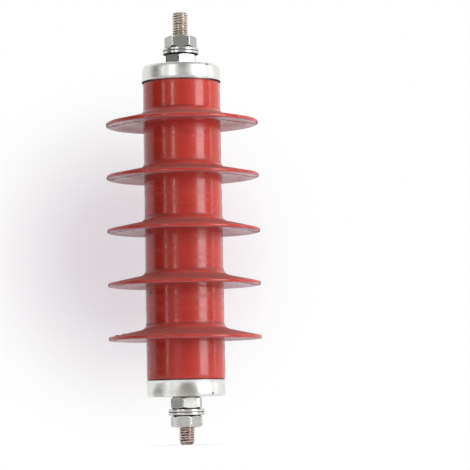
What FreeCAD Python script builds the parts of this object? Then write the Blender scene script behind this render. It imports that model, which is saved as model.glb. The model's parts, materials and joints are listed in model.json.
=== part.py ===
"""Polymer-housed surge arrester with a threaded stud terminal at each end.

Millimetres, +Z up along the arrester's axis. The origin is on the axis, in the outer face of
the lower terminal nut, where the lower stud comes out.
"""
import FreeCAD, Part
import math
import os

# Varistor column
VARISTOR_COUNT = 5
VARISTOR_RADIUS = 16.0
VARISTOR_HEIGHT = 24.0
VARISTOR_EDGE = 0.6
CONTACT_PLATE_INSET = 0.5
CONTACT_PLATE_THICKNESS = 1.0

# Disc springs and the plate that they press on
SPRING_COUNT = 6
SPRING_TUBE_CLEARANCE = 0.75
SPRING_WIDTH = 7.6
SPRING_THICKNESS = 1.25
SPRING_CONE_HEIGHT = 0.9
PRESSURE_PLATE_THICKNESS = 5.0
PRESSURE_PLATE_EDGE = 0.2
SPIGOT_HEIGHT = 6.0
SPIGOT_CLEARANCE = 0.25

# Glass fibre tube
TUBE_BORE_CLEARANCE = 0.5
TUBE_WALL = 2.5

# End blocks, their seals and their cross pins
BLOCK_FLANGE_THICKNESS = 5.0
BLOCK_PLUG_LENGTH = 20.0
BLOCK_PLUG_CLEARANCE = 0.05
BLOCK_EDGE = 0.4
TAPPED_DEPTH = 18.0
SEAL_SECTION = 2.0
SEAL_CLEARANCE = 0.01
SEAL_GROOVE_WIDTH = 2.6
SEAL_FROM_PLUG_END = 5.0
PIN_COUNT = 4
PIN_RADIUS = 1.5
PIN_LENGTH = 8.0
PIN_FIT = 0.02
PIN_FROM_TUBE_END = 8.0

# Moulded rubber housing
BOND_LINE = 0.02
RUBBER_WALL = 3.9
BODY_TAPER = 0.3
NECK_WALL = 3.2
SHED_COUNT = 5
SHED_PITCH = 31.75
SHED_RADIUS = 45.0
SHED_RIM_THICKNESS = 2.2
SHED_RIM_ROUND = 0.9
SHED_TOP_SLOPE = 12.0
SHED_UNDER_SLOPE = 9.5
SHED_TOP_FILLET = 4.0
SHED_UNDER_FILLET = 1.5
SHOULDER_ROUND = 0.3

# Drawn end caps
CAP_THICKNESS = 0.8
CAP_HEIGHT = 9.7
CAP_FIT = 0.05
CAP_EDGE_ROUND = 1.8
CAP_LIP_FLARE = 0.4
CAP_LIP_LENGTH = 1.6
CAP_LIP_GAP = 0.4

# Terminal studs and their fasteners, metric thread 10 x 1.5
THREAD_RADIUS = 5.0
THREAD_PITCH = 1.5
THREAD_CLEARANCE = 0.02
STUD_CHAMFER = 1.2
STUD_END_GAP = 1.0
UPPER_STUD_EXPOSED = 14.0
LOWER_STUD_EXPOSED = 10.0
STUD_HOLE_CLEARANCE = 0.25
NUT_ACROSS_FLATS = 17.0
NUT_HEIGHT = 7.2
NUT_BEVEL_ANGLE = 30.0
NUT_COUNTERSINK = 0.4
WASHER_RADIUS = 10.6
WASHER_THICKNESS = 1.8
WASHER_EDGE = 0.25

# Where a corner of each nut points, in degrees from the front (-Y) towards the right (+X)
UPPER_TERMINAL_NUT_TURN = 32.0
UPPER_JAM_NUT_TURN = -5.5
LOWER_JAM_NUT_TURN = -10.4
LOWER_TERMINAL_NUT_TURN = 15.0

# A 60 degree thread's pitch radius is 0.3248 of the pitch inside its crest. A stud and what
# is screwed on it are drawn at that radius where they engage, so they meet without overlap.
PITCH_RADIUS_SHARE = 0.3248
ENGAGED_RADIUS = THREAD_RADIUS - PITCH_RADIUS_SHARE * THREAD_PITCH
TAPPED_RADIUS = ENGAGED_RADIUS + THREAD_CLEARANCE
STUD_HOLE_RADIUS = THREAD_RADIUS + STUD_HOLE_CLEARANCE

# Radii, from the column outwards
TUBE_BORE_RADIUS = VARISTOR_RADIUS + TUBE_BORE_CLEARANCE
TUBE_RADIUS = TUBE_BORE_RADIUS + TUBE_WALL
CONTACT_PLATE_RADIUS = VARISTOR_RADIUS - CONTACT_PLATE_INSET
SPRING_OUTER_RADIUS = TUBE_BORE_RADIUS - SPRING_TUBE_CLEARANCE
SPRING_BORE_RADIUS = SPRING_OUTER_RADIUS - SPRING_WIDTH
PLUG_RADIUS = TUBE_BORE_RADIUS - BLOCK_PLUG_CLEARANCE
HOUSING_BORE_RADIUS = TUBE_RADIUS + BOND_LINE
LOWER_BODY_RADIUS = TUBE_RADIUS + RUBBER_WALL
UPPER_BODY_RADIUS = LOWER_BODY_RADIUS - BODY_TAPER
NECK_RADIUS = TUBE_RADIUS + NECK_WALL
CAP_BORE_RADIUS = NECK_RADIUS + CAP_FIT
CAP_RADIUS = CAP_BORE_RADIUS + CAP_THICKNESS
CAP_INNER_ROUND = max(CAP_EDGE_ROUND - CAP_THICKNESS, 0)

# Heights, from the lower terminal nut's outer face upwards
SPRING_HEIGHT = SPRING_THICKNESS + SPRING_CONE_HEIGHT
COLUMN_LENGTH = (
    VARISTOR_COUNT * VARISTOR_HEIGHT
    + (VARISTOR_COUNT + 1) * CONTACT_PLATE_THICKNESS
    + PRESSURE_PLATE_THICKNESS
    + SPRING_COUNT * SPRING_HEIGHT
)
TUBE_LENGTH = COLUMN_LENGTH + 2 * BLOCK_PLUG_LENGTH
HOUSING_LENGTH = TUBE_LENGTH + 2 * BLOCK_FLANGE_THICKNESS
FASTENER_HEIGHT = 2 * NUT_HEIGHT + 2 * WASHER_THICKNESS
LOWER_CAP_FACE = FASTENER_HEIGHT
HOUSING_BASE = LOWER_CAP_FACE + CAP_THICKNESS
HOUSING_TOP = HOUSING_BASE + HOUSING_LENGTH
UPPER_CAP_FACE = HOUSING_TOP + CAP_THICKNESS
MIDDLE = (LOWER_CAP_FACE + UPPER_CAP_FACE) / 2
TUBE_BASE = HOUSING_BASE + BLOCK_FLANGE_THICKNESS
COLUMN_BASE = TUBE_BASE + BLOCK_PLUG_LENGTH

ORIGIN = FreeCAD.Vector(0, 0, 0)
AXIS = FreeCAD.Vector(0, 0, 1)
LONGEST_ROUND_SHARE = 0.49
CUT_MARGIN = 1.0


def rounded_corner(before, corner, after, size):
    """Start, middle and end of the arc that rounds a corner, no longer than its sides allow."""
    back = (before - corner).normalize()
    ahead = (after - corner).normalize()
    half_angle = back.getAngle(ahead) / 2
    longest = LONGEST_ROUND_SHARE * min((before - corner).Length, (after - corner).Length)
    reach = min(size / math.tan(half_angle), longest)
    radius = reach * math.tan(half_angle)
    inward = (back + ahead).normalize()
    middle = corner + inward * (radius / math.sin(half_angle) - radius)
    return corner + back * reach, middle, corner + ahead * reach


def outline(corners):
    """Closed face in the XZ plane. Each corner is (radius, height) or (radius, height, round)."""
    points = [FreeCAD.Vector(corner[0], 0, corner[1]) for corner in corners]
    edges = []
    joints = []
    for index, corner in enumerate(corners):
        size = corner[2] if len(corner) > 2 else 0
        if size:
            before = points[index - 1]
            after = points[(index + 1) % len(points)]
            start, middle, end = rounded_corner(before, points[index], after, size)
            edges.append(Part.Arc(start, middle, end).toShape())
        else:
            start = points[index]
            end = points[index]
        joints.append((start, end))
    for index, (start, _) in enumerate(joints):
        edges.append(Part.LineSegment(joints[index - 1][1], start).toShape())
    return Part.Face(Part.Wire(Part.__sortEdges__(edges)))


def turned(corners):
    """Solid of revolution about the Z axis from the corners of half its section."""
    return outline(corners).revolve(ORIGIN, AXIS, 360)


def rod(radius, low, high):
    """Plain cylinder on the axis between two heights."""
    return Part.makeCylinder(radius, high - low, FreeCAD.Vector(0, 0, low), AXIS)


def ring(inner, outer, low, high):
    """Square-edged ring on the axis between two heights."""
    return turned([(inner, low), (outer, low), (outer, high), (inner, high)])


def lower_end(shape):
    """Places a piece that is drawn outwards (-Z) from a cap's outer face at the lower end."""
    return shape.translated(FreeCAD.Vector(0, 0, LOWER_CAP_FACE))


def upper_end(shape):
    """Places the same kind of piece at the upper end, the other way up."""
    flipped = shape.mirror(ORIGIN, AXIS)
    return flipped.translated(FreeCAD.Vector(0, 0, UPPER_CAP_FACE))


def housing():
    """One rubber moulding: a tapered body with a straight bore, sheds and a neck for each cap."""
    neck_height = CAP_HEIGHT - CAP_THICKNESS + CAP_LIP_GAP
    low_shoulder = HOUSING_BASE + neck_height
    high_shoulder = HOUSING_TOP - neck_height
    mean_radius = (LOWER_BODY_RADIUS + UPPER_BODY_RADIUS) / 2
    shrink = BODY_TAPER / (high_shoulder - low_shoulder)
    corners = [
        (HOUSING_BORE_RADIUS, HOUSING_BASE),
        (NECK_RADIUS, HOUSING_BASE, CAP_INNER_ROUND),
        (NECK_RADIUS, low_shoulder),
        (LOWER_BODY_RADIUS, low_shoulder, SHOULDER_ROUND),
    ]
    for number in range(SHED_COUNT):
        rim = MIDDLE + (number - (SHED_COUNT - 1) / 2) * SHED_PITCH
        root_radius = mean_radius + shrink * (MIDDLE - rim)
        reach = SHED_RADIUS - root_radius
        rim_low = rim - SHED_RIM_THICKNESS / 2
        rim_high = rim + SHED_RIM_THICKNESS / 2
        root_low = rim_low + reach * math.tan(math.radians(SHED_UNDER_SLOPE))
        root_high = rim_high + reach * math.tan(math.radians(SHED_TOP_SLOPE))
        corners += [
            (root_radius, root_low, SHED_UNDER_FILLET),
            (SHED_RADIUS, rim_low, SHED_RIM_ROUND),
            (SHED_RADIUS, rim_high, SHED_RIM_ROUND),
            (root_radius, root_high, SHED_TOP_FILLET),
        ]
    corners += [
        (UPPER_BODY_RADIUS, high_shoulder, SHOULDER_ROUND),
        (NECK_RADIUS, high_shoulder),
        (NECK_RADIUS, HOUSING_TOP, CAP_INNER_ROUND),
        (HOUSING_BORE_RADIUS, HOUSING_TOP),
    ]
    return turned(corners)


def cap():
    """Drawn cup: an end plate with a stud hole, a rounded edge and a skirt with a flared lip."""
    lip_start = CAP_HEIGHT - CAP_LIP_LENGTH
    return turned([
        (STUD_HOLE_RADIUS, 0),
        (CAP_RADIUS, 0, CAP_EDGE_ROUND),
        (CAP_RADIUS, lip_start),
        (CAP_RADIUS + CAP_LIP_FLARE, CAP_HEIGHT),
        (CAP_BORE_RADIUS + CAP_LIP_FLARE, CAP_HEIGHT),
        (CAP_BORE_RADIUS, lip_start),
        (CAP_BORE_RADIUS, CAP_THICKNESS, CAP_INNER_ROUND),
        (STUD_HOLE_RADIUS, CAP_THICKNESS),
    ])


def nut(face, turn):
    """Hexagon nut, bevelled on both sides, with a countersunk tapped hole. Its outer face is at face."""
    corner_radius = NUT_ACROSS_FLATS / 2 / math.cos(math.radians(30))
    flat_radius = NUT_ACROSS_FLATS / 2
    corners = []
    for number in range(7):
        angle = math.radians(turn + 60 * number)
        corners.append(FreeCAD.Vector(corner_radius * math.sin(angle), -corner_radius * math.cos(angle), face))
    blank = Part.Face(Part.makePolygon(corners)).extrude(FreeCAD.Vector(0, 0, NUT_HEIGHT))
    back = face + NUT_HEIGHT
    bevel = (corner_radius - flat_radius) * math.tan(math.radians(NUT_BEVEL_ANGLE))
    envelope = turned([
        (0, face),
        (flat_radius, face),
        (corner_radius, face + bevel),
        (corner_radius, back - bevel),
        (flat_radius, back),
        (0, back),
    ])
    mouth_radius = THREAD_RADIUS + NUT_COUNTERSINK
    mouth_depth = mouth_radius - TAPPED_RADIUS
    hole = turned([
        (0, face),
        (mouth_radius, face),
        (TAPPED_RADIUS, face + mouth_depth),
        (TAPPED_RADIUS, back - mouth_depth),
        (mouth_radius, back),
        (0, back),
    ])
    return blank.common(envelope).cut(hole)


def washer(face):
    """Flat washer with broken outer edges. Its outer face is at face."""
    back = face + WASHER_THICKNESS
    return turned([
        (STUD_HOLE_RADIUS, face),
        (WASHER_RADIUS - WASHER_EDGE, face),
        (WASHER_RADIUS, face + WASHER_EDGE),
        (WASHER_RADIUS, back - WASHER_EDGE),
        (WASHER_RADIUS - WASHER_EDGE, back),
        (STUD_HOLE_RADIUS, back),
    ])


def stud(exposed):
    """Threaded stud: free end outside, tapped hole of the end block inside, fasteners between."""
    tip = -FASTENER_HEIGHT - exposed
    root = CAP_THICKNESS + TAPPED_DEPTH - STUD_END_GAP
    tip_radius = THREAD_RADIUS - STUD_CHAMFER
    root_radius = ENGAGED_RADIUS - STUD_CHAMFER
    crest = turned([
        (0, tip),
        (tip_radius, tip),
        (THREAD_RADIUS, tip + STUD_CHAMFER),
        (THREAD_RADIUS, CAP_THICKNESS),
        (ENGAGED_RADIUS, CAP_THICKNESS),
        (ENGAGED_RADIUS, root - STUD_CHAMFER),
        (root_radius, root),
        (0, root),
    ])
    for nut_face in (-FASTENER_HEIGHT, -NUT_HEIGHT):
        crest = crest.cut(ring(ENGAGED_RADIUS, THREAD_RADIUS + CUT_MARGIN, nut_face, nut_face + NUT_HEIGHT))
    return crest


def pin_places():
    """Angles at which the cross pins stand round a tube end, in degrees."""
    return [360 / PIN_COUNT * number for number in range(PIN_COUNT)]


def cross_pins(radius, start, end):
    """Round bars across the tube wall, one at each pin place, between two distances from the axis."""
    height = CAP_THICKNESS + BLOCK_FLANGE_THICKNESS + PIN_FROM_TUBE_END
    bars = []
    for angle in pin_places():
        outward = FreeCAD.Vector(math.cos(math.radians(angle)), math.sin(math.radians(angle)), 0)
        foot = outward * start + FreeCAD.Vector(0, 0, height)
        bars.append(Part.makeCylinder(radius, end - start, foot, outward))
    return Part.makeCompound(bars)


def retaining_pins():
    """The cross pins that hold an end block in the tube. Their outer edges lie in its surface."""
    flush = math.sqrt(TUBE_RADIUS**2 - PIN_RADIUS**2)
    return cross_pins(PIN_RADIUS, TUBE_RADIUS - PIN_LENGTH, flush)


def pin_holes():
    """Holes for the cross pins, from the pins' inner ends out through the tube wall."""
    return cross_pins(PIN_RADIUS + PIN_FIT, TUBE_RADIUS - PIN_LENGTH, TUBE_RADIUS + CUT_MARGIN)


def end_block():
    """Turned block: flange on the tube's end, grooved plug in its bore, tapped hole for the stud."""
    flange_end = CAP_THICKNESS + BLOCK_FLANGE_THICKNESS
    plug_end = flange_end + BLOCK_PLUG_LENGTH
    tapped_end = CAP_THICKNESS + TAPPED_DEPTH
    groove_middle = plug_end - SEAL_FROM_PLUG_END
    groove_low = groove_middle - SEAL_GROOVE_WIDTH / 2
    groove_high = groove_middle + SEAL_GROOVE_WIDTH / 2
    groove_radius = TUBE_BORE_RADIUS - SEAL_SECTION
    block = turned([
        (0, CAP_THICKNESS),
        (TUBE_RADIUS, CAP_THICKNESS),
        (TUBE_RADIUS, flange_end),
        (PLUG_RADIUS, flange_end),
        (PLUG_RADIUS, groove_low),
        (groove_radius, groove_low),
        (groove_radius, groove_high),
        (PLUG_RADIUS, groove_high),
        (PLUG_RADIUS, plug_end - BLOCK_EDGE),
        (PLUG_RADIUS - BLOCK_EDGE, plug_end),
        (0, plug_end),
    ])
    block = block.cut(rod(TAPPED_RADIUS, CAP_THICKNESS, tapped_end))
    return block.cut(pin_holes())


def seal_ring():
    """Rubber ring in the plug's groove, at the section it has when squeezed against the tube."""
    height = CAP_THICKNESS + BLOCK_FLANGE_THICKNESS + BLOCK_PLUG_LENGTH - SEAL_FROM_PLUG_END
    centre_radius = TUBE_BORE_RADIUS - SEAL_SECTION / 2
    section_radius = SEAL_SECTION / 2 - SEAL_CLEARANCE
    return Part.makeTorus(centre_radius, section_radius, FreeCAD.Vector(0, 0, height), AXIS)


def glass_fibre_tube():
    """Wound tube that carries the pull between the end blocks, drilled for their cross pins."""
    tube = ring(TUBE_BORE_RADIUS, TUBE_RADIUS, TUBE_BASE, TUBE_BASE + TUBE_LENGTH)
    return tube.cut(lower_end(pin_holes())).cut(upper_end(pin_holes()))


def contact_plate(base):
    """Thin soft disc that levels the contact between two faces of the column."""
    return rod(CONTACT_PLATE_RADIUS, base, base + CONTACT_PLATE_THICKNESS)


def varistor_disc(base):
    """Sintered disc with broken edges."""
    top = base + VARISTOR_HEIGHT
    return turned([
        (0, base),
        (VARISTOR_RADIUS - VARISTOR_EDGE, base),
        (VARISTOR_RADIUS, base + VARISTOR_EDGE),
        (VARISTOR_RADIUS, top - VARISTOR_EDGE),
        (VARISTOR_RADIUS - VARISTOR_EDGE, top),
        (0, top),
    ])


def pressure_plate(base):
    """Plate with a spigot that centres the disc springs."""
    top = base + PRESSURE_PLATE_THICKNESS
    spigot_radius = SPRING_BORE_RADIUS - SPIGOT_CLEARANCE
    spigot_top = top + SPIGOT_HEIGHT
    return turned([
        (0, base),
        (VARISTOR_RADIUS - PRESSURE_PLATE_EDGE, base),
        (VARISTOR_RADIUS, base + PRESSURE_PLATE_EDGE),
        (VARISTOR_RADIUS, top - PRESSURE_PLATE_EDGE),
        (VARISTOR_RADIUS - PRESSURE_PLATE_EDGE, top),
        (spigot_radius, top),
        (spigot_radius, spigot_top - PRESSURE_PLATE_EDGE),
        (spigot_radius - PRESSURE_PLATE_EDGE, spigot_top),
        (0, spigot_top),
    ])


def disc_spring(base, opens_down):
    """Conical spring washer. It opens down when its outer edge is the lower one."""
    inner_lift = SPRING_CONE_HEIGHT if opens_down else 0
    outer_lift = SPRING_CONE_HEIGHT - inner_lift
    return turned([
        (SPRING_BORE_RADIUS, base + inner_lift),
        (SPRING_OUTER_RADIUS, base + outer_lift),
        (SPRING_OUTER_RADIUS, base + outer_lift + SPRING_THICKNESS),
        (SPRING_BORE_RADIUS, base + inner_lift + SPRING_THICKNESS),
    ])


def column():
    """The pieces inside the tube from the lower block to the upper one, by name."""
    pieces = {"contact_plate_1": contact_plate(COLUMN_BASE)}
    height = COLUMN_BASE + CONTACT_PLATE_THICKNESS
    for number in range(1, VARISTOR_COUNT + 1):
        pieces[f"varistor_disc_{number}"] = varistor_disc(height)
        height += VARISTOR_HEIGHT
        pieces[f"contact_plate_{number + 1}"] = contact_plate(height)
        height += CONTACT_PLATE_THICKNESS
    pieces["pressure_plate"] = pressure_plate(height)
    height += PRESSURE_PLATE_THICKNESS
    for number in range(1, SPRING_COUNT + 1):
        pieces[f"disc_spring_{number}"] = disc_spring(height, opens_down=number % 2 == 1)
        height += SPRING_HEIGHT
    return pieces


def terminal(end, place, exposed, jam_turn, terminal_turn):
    """The pieces of one end, by name: cap, stud, fasteners, end block, seal and pins."""
    inner_washer_face = -NUT_HEIGHT - WASHER_THICKNESS
    outer_washer_face = inner_washer_face - WASHER_THICKNESS
    drawn = {
        "cap": cap(),
        "stud": stud(exposed),
        "jam_nut": nut(-NUT_HEIGHT, jam_turn),
        "inner_washer": washer(inner_washer_face),
        "outer_washer": washer(outer_washer_face),
        "terminal_nut": nut(-FASTENER_HEIGHT, terminal_turn),
        "end_block": end_block(),
        "seal_ring": seal_ring(),
        "retaining_pins": retaining_pins(),
    }
    return {f"{end}_{name}": place(shape) for name, shape in drawn.items()}


def arrester():
    """Every piece of the arrester, by name."""
    pieces = {"housing": housing(), "glass_fibre_tube": glass_fibre_tube()}
    pieces.update(column())
    pieces.update(terminal("lower", lower_end, LOWER_STUD_EXPOSED, LOWER_JAM_NUT_TURN, LOWER_TERMINAL_NUT_TURN))
    pieces.update(terminal("upper", upper_end, UPPER_STUD_EXPOSED, UPPER_JAM_NUT_TURN, UPPER_TERMINAL_NUT_TURN))
    return pieces


def main():
    os.makedirs("parts", exist_ok=True)
    for name, shape in arrester().items():
        shape.exportStep(f"parts/{name}.step")


main()
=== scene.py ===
"""Visual model of a polymer-housed surge arrester with a threaded stud terminal at each end.

Blender works in metres, +Z up along the arrester's axis, with the origin on the axis in the
outer face of the lower terminal nut. The classes below hold their sizes in millimetres, as a
maker's drawing gives them, and turn them into metres where a mesh is made.
"""

import json
import logging
import math
from dataclasses import dataclass, field
from enum import Enum
from typing import Union

import bmesh
import bpy
import numpy as np
from mathutils import Matrix, Vector


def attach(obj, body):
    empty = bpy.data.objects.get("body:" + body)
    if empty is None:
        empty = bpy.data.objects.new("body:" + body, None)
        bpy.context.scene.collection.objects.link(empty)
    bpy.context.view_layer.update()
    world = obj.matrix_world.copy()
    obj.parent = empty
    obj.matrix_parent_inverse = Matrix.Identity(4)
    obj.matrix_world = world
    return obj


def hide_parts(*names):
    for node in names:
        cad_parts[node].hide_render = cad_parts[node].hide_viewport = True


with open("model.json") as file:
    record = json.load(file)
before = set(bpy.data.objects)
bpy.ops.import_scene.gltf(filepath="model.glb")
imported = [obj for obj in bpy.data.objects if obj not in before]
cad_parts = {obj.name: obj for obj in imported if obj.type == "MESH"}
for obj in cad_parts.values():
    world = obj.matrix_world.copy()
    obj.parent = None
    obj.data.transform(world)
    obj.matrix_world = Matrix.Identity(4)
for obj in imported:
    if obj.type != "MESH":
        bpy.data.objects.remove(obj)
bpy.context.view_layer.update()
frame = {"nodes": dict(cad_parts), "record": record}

MM = 0.001
LOWER_FACE, UPPER_FACE = 18.0, 213.5
CAP_HEIGHT, CAP_WALL = 9.7, 0.8
NUT_HEIGHT, WASHER_HEIGHT = 7.2, 1.8
HALF_SPAN = (UPPER_FACE - LOWER_FACE) / 2
MIDDLE = (LOWER_FACE + HALF_SPAN) * MM
CAP_LIP = (HALF_SPAN - CAP_HEIGHT) * MM
JAM_TOP = (HALF_SPAN + NUT_HEIGHT) * MM
BETWEEN_WASHERS = JAM_TOP + WASHER_HEIGHT * MM
TERMINAL_SEAT = BETWEEN_WASHERS + WASHER_HEIGHT * MM
BODY = "root"
LOG = logging.getLogger("arrester")

Colour = tuple[float, float, float]
Socket = bpy.types.NodeSocket
Outputs = bpy.types.NodeOutputs
Inputs = bpy.types.NodeInputs
Piece = bpy.types.Object
Feed = Union[float, tuple, Socket]


# Options


class End(Enum):
    """The two ends of the arrester."""

    LOWER = "lower"
    UPPER = "upper"


class Facing(Enum):
    """The side of a shed that a bump of flash is on."""

    UP = "UP"
    DOWN = "DOWN"


class Blend(Enum):
    """How one colour is laid over another."""

    MIX = "MIX"
    MULTIPLY = "MULTIPLY"


# Node graphs


class Graph:
    """Short calls that add nodes to one node tree and join them."""

    def __init__(self, tree: bpy.types.NodeTree) -> None:
        """Keeps the tree to work in.

        Args:
            tree: Node tree of a material, a world or a node group.
        """
        self.tree = tree

    def add(self, kind: str, feeds: dict[Union[str, int], Feed] | None = None,
            **settings: object) -> bpy.types.Node:
        """Adds a node.

        Args:
            kind: Blender's name of the node type.
            feeds: Value or socket for each input, by name or index.
            settings: Attributes of the node.

        Returns:
            The new node.
        """
        node = self.tree.nodes.new(kind)
        for name, value in settings.items():
            setattr(node, name, value)
        for name, value in (feeds or {}).items():
            self.feed(node.inputs[name], value)
        return node

    def feed(self, socket: Socket, value: Feed) -> None:
        """Joins a socket to an input, or sets the input's constant.

        Args:
            socket: The input.
            value: A socket to link, a number or a colour.
        """
        if isinstance(value, Socket):
            self.tree.links.new(value, socket)
        elif isinstance(value, tuple) and len(value) == 3 and socket.type == "RGBA":
            socket.default_value = (*value, 1.0)
        else:
            socket.default_value = value

    def math(self, operation: str, first: Feed, second: Feed = 0.0, clamp: bool = False) -> Socket:
        """Works out one sum.

        Args:
            operation: Blender's name of the operation.
            first: First number.
            second: Second number.
            clamp: Whether the result is kept between 0 and 1.

        Returns:
            The result's socket.
        """
        return self.add("ShaderNodeMath", {0: first, 1: second}, operation=operation,
                        use_clamp=clamp).outputs[0]

    def times(self, first: Feed, second: Feed, clamp: bool = False) -> Socket:
        """Product of two numbers, kept between 0 and 1 if clamp is set."""
        return self.math("MULTIPLY", first, second, clamp)

    def plus(self, first: Feed, second: Feed, clamp: bool = False) -> Socket:
        """Sum of two numbers, kept between 0 and 1 if clamp is set."""
        return self.math("ADD", first, second, clamp)

    def less(self, first: Feed, second: Feed, clamp: bool = False) -> Socket:
        """First number less the second, kept between 0 and 1 if clamp is set."""
        return self.math("SUBTRACT", first, second, clamp)

    def most(self, first: Feed, second: Feed) -> Socket:
        """The larger of two numbers."""
        return self.math("MAXIMUM", first, second)

    def size(self, value: Feed) -> Socket:
        """A number without its sign."""
        return self.math("ABSOLUTE", value)

    def split(self, vector: Feed) -> Outputs:
        """A vector's X, Y and Z."""
        return self.add("ShaderNodeSeparateXYZ", {0: vector}).outputs

    def between(self, value: Feed, low: float, high: float, start: Feed = 0.0, end: Feed = 1.0) -> Socket:
        """Maps a range smoothly onto another one.

        Args:
            value: Number to map.
            low: Lower end of its range.
            high: Upper end of its range.
            start: What the lower end becomes.
            end: What the upper end becomes.

        Returns:
            The mapped number's socket.
        """
        feeds = {"Value": value, "From Min": low, "From Max": high, "To Min": start, "To Max": end}
        return self.add("ShaderNodeMapRange", feeds, interpolation_type="SMOOTHSTEP").outputs[0]

    def lay(self, factor: Feed, under: Feed, over: Feed, blend: Blend = Blend.MIX) -> Socket:
        """Lays one colour over another.

        Args:
            factor: How much of the upper colour shows.
            under: Lower colour.
            over: Upper colour.
            blend: How they are mixed.

        Returns:
            The mixed colour's socket.
        """
        node = self.add("ShaderNodeMix", data_type="RGBA", blend_type=blend.value)
        self.feed(node.inputs[0], factor)
        self.feed(node.inputs[6], under)
        self.feed(node.inputs[7], over)
        return node.outputs[2]

    def noise(self, place: Feed, scale: Feed, detail: float = 2.0, roughness: float = 0.5) -> Socket:
        """Adds soft noise.

        Args:
            place: Where the noise is read.
            scale: Waves in a metre.
            detail: How many finer layers it has.
            roughness: How strong they are.

        Returns:
            The socket of the noise, about 0.2 to 0.8.
        """
        feeds = {"Vector": place, "Scale": scale, "Detail": detail, "Roughness": roughness}
        return self.add("ShaderNodeTexNoise", feeds).outputs[0]

    def stretched(self, place: Feed, factors: Colour) -> Socket:
        """Multiplies a place by a factor on each axis.

        Args:
            place: The place.
            factors: Factor on X, Y and Z.

        Returns:
            The stretched place's socket.
        """
        return self.add("ShaderNodeVectorMath", {0: place, 1: factors}, operation="MULTIPLY").outputs[0]

    def place(self) -> Socket:
        """Place on the object, in metres from its origin."""
        return self.add("ShaderNodeTexCoord").outputs["Object"]

    def away(self, point: Colour) -> Socket:
        """Distance on the object from a point, in metres."""
        feeds = {0: self.place(), 1: point}
        return self.add("ShaderNodeVectorMath", feeds, operation="DISTANCE").outputs["Value"]

    def bump(self, height: Feed, depth: float, strength: float = 1.0, under: Feed | None = None) -> Socket:
        """Turns a height into a normal.

        Args:
            height: Height from 0 to 1.
            depth: What a height of 1 is, in metres.
            strength: Share of the effect.
            under: Normal that it is added to.

        Returns:
            The normal's socket.
        """
        feeds: dict[Union[str, int], Feed] = {"Height": height, "Distance": depth, "Strength": strength}
        if under is not None:
            feeds["Normal"] = under
        return self.add("ShaderNodeBump", feeds).outputs[0]


@dataclass(frozen=True)
class Port:
    """A named input or output of a node group."""

    name: str
    kind: str
    value: Union[float, Colour, None] = None


class EffectGroup:
    """A shader node group, built once and placed in as many materials as need it."""

    name: str = ""
    inputs: tuple[Port, ...] = ()
    outputs: tuple[Port, ...] = ()

    def tree(self) -> bpy.types.NodeTree:
        """Builds the group's node tree on its first use.

        Returns:
            The tree.
        """
        made = bpy.data.node_groups.get(self.name)
        if made:
            return made
        tree = bpy.data.node_groups.new(self.name, "ShaderNodeTree")
        for side, ports in (("INPUT", self.inputs), ("OUTPUT", self.outputs)):
            for port in ports:
                socket = tree.interface.new_socket(port.name, in_out=side, socket_type=port.kind)
                if side == "INPUT" and port.value is not None:
                    value = port.value
                    socket.default_value = (*value, 1.0) if isinstance(value, tuple) else value
        graph = Graph(tree)
        entry = tree.nodes.new("NodeGroupInput")
        leave = tree.nodes.new("NodeGroupOutput")
        self.wire(graph, entry.outputs, leave.inputs)
        return tree

    def wire(self, graph: Graph, given: Outputs, result: Inputs) -> None:
        """Fills the group with its nodes.

        Args:
            graph: Graph of the group's tree.
            given: The group's inputs, seen from inside.
            result: The group's outputs, seen from inside.
        """
        raise NotImplementedError

    def put(self, graph: Graph, **values: Feed) -> bpy.types.Node:
        """Places the group in a material.

        Args:
            graph: Graph of the material.
            values: Value or socket for each input, its name with underscores for spaces.

        Returns:
            The group's node.
        """
        node = graph.add("ShaderNodeGroup", node_tree=self.tree())
        for name, value in values.items():
            graph.feed(node.inputs[name.replace("_", " ")], value)
        return node


FLOAT, COLOUR, VECTOR = "NodeSocketFloat", "NodeSocketColor", "NodeSocketVector"


class AxisPlace(EffectGroup):
    """Radius, height, distance from the arrester's middle, and how far the surface faces up."""

    name = "Place round the axis"
    outputs = (Port("Radius", FLOAT), Port("Height", FLOAT), Port("Away", FLOAT), Port("Facing", FLOAT))

    def wire(self, graph: Graph, given: Outputs, result: Inputs) -> None:
        """Fills the group.

        Args:
            graph: Graph of the group.
            given: Its inputs.
            result: Its outputs.
        """
        split = graph.split(graph.place())
        square = graph.plus(graph.times(split[0], split[0]), graph.times(split[1], split[1]))
        normal = graph.add("ShaderNodeNewGeometry").outputs["Normal"]
        graph.feed(result["Radius"], graph.math("SQRT", square))
        graph.feed(result["Height"], split[2])
        graph.feed(result["Away"], graph.size(graph.less(split[2], MIDDLE)))
        graph.feed(result["Facing"], graph.split(normal)[2])


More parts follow.
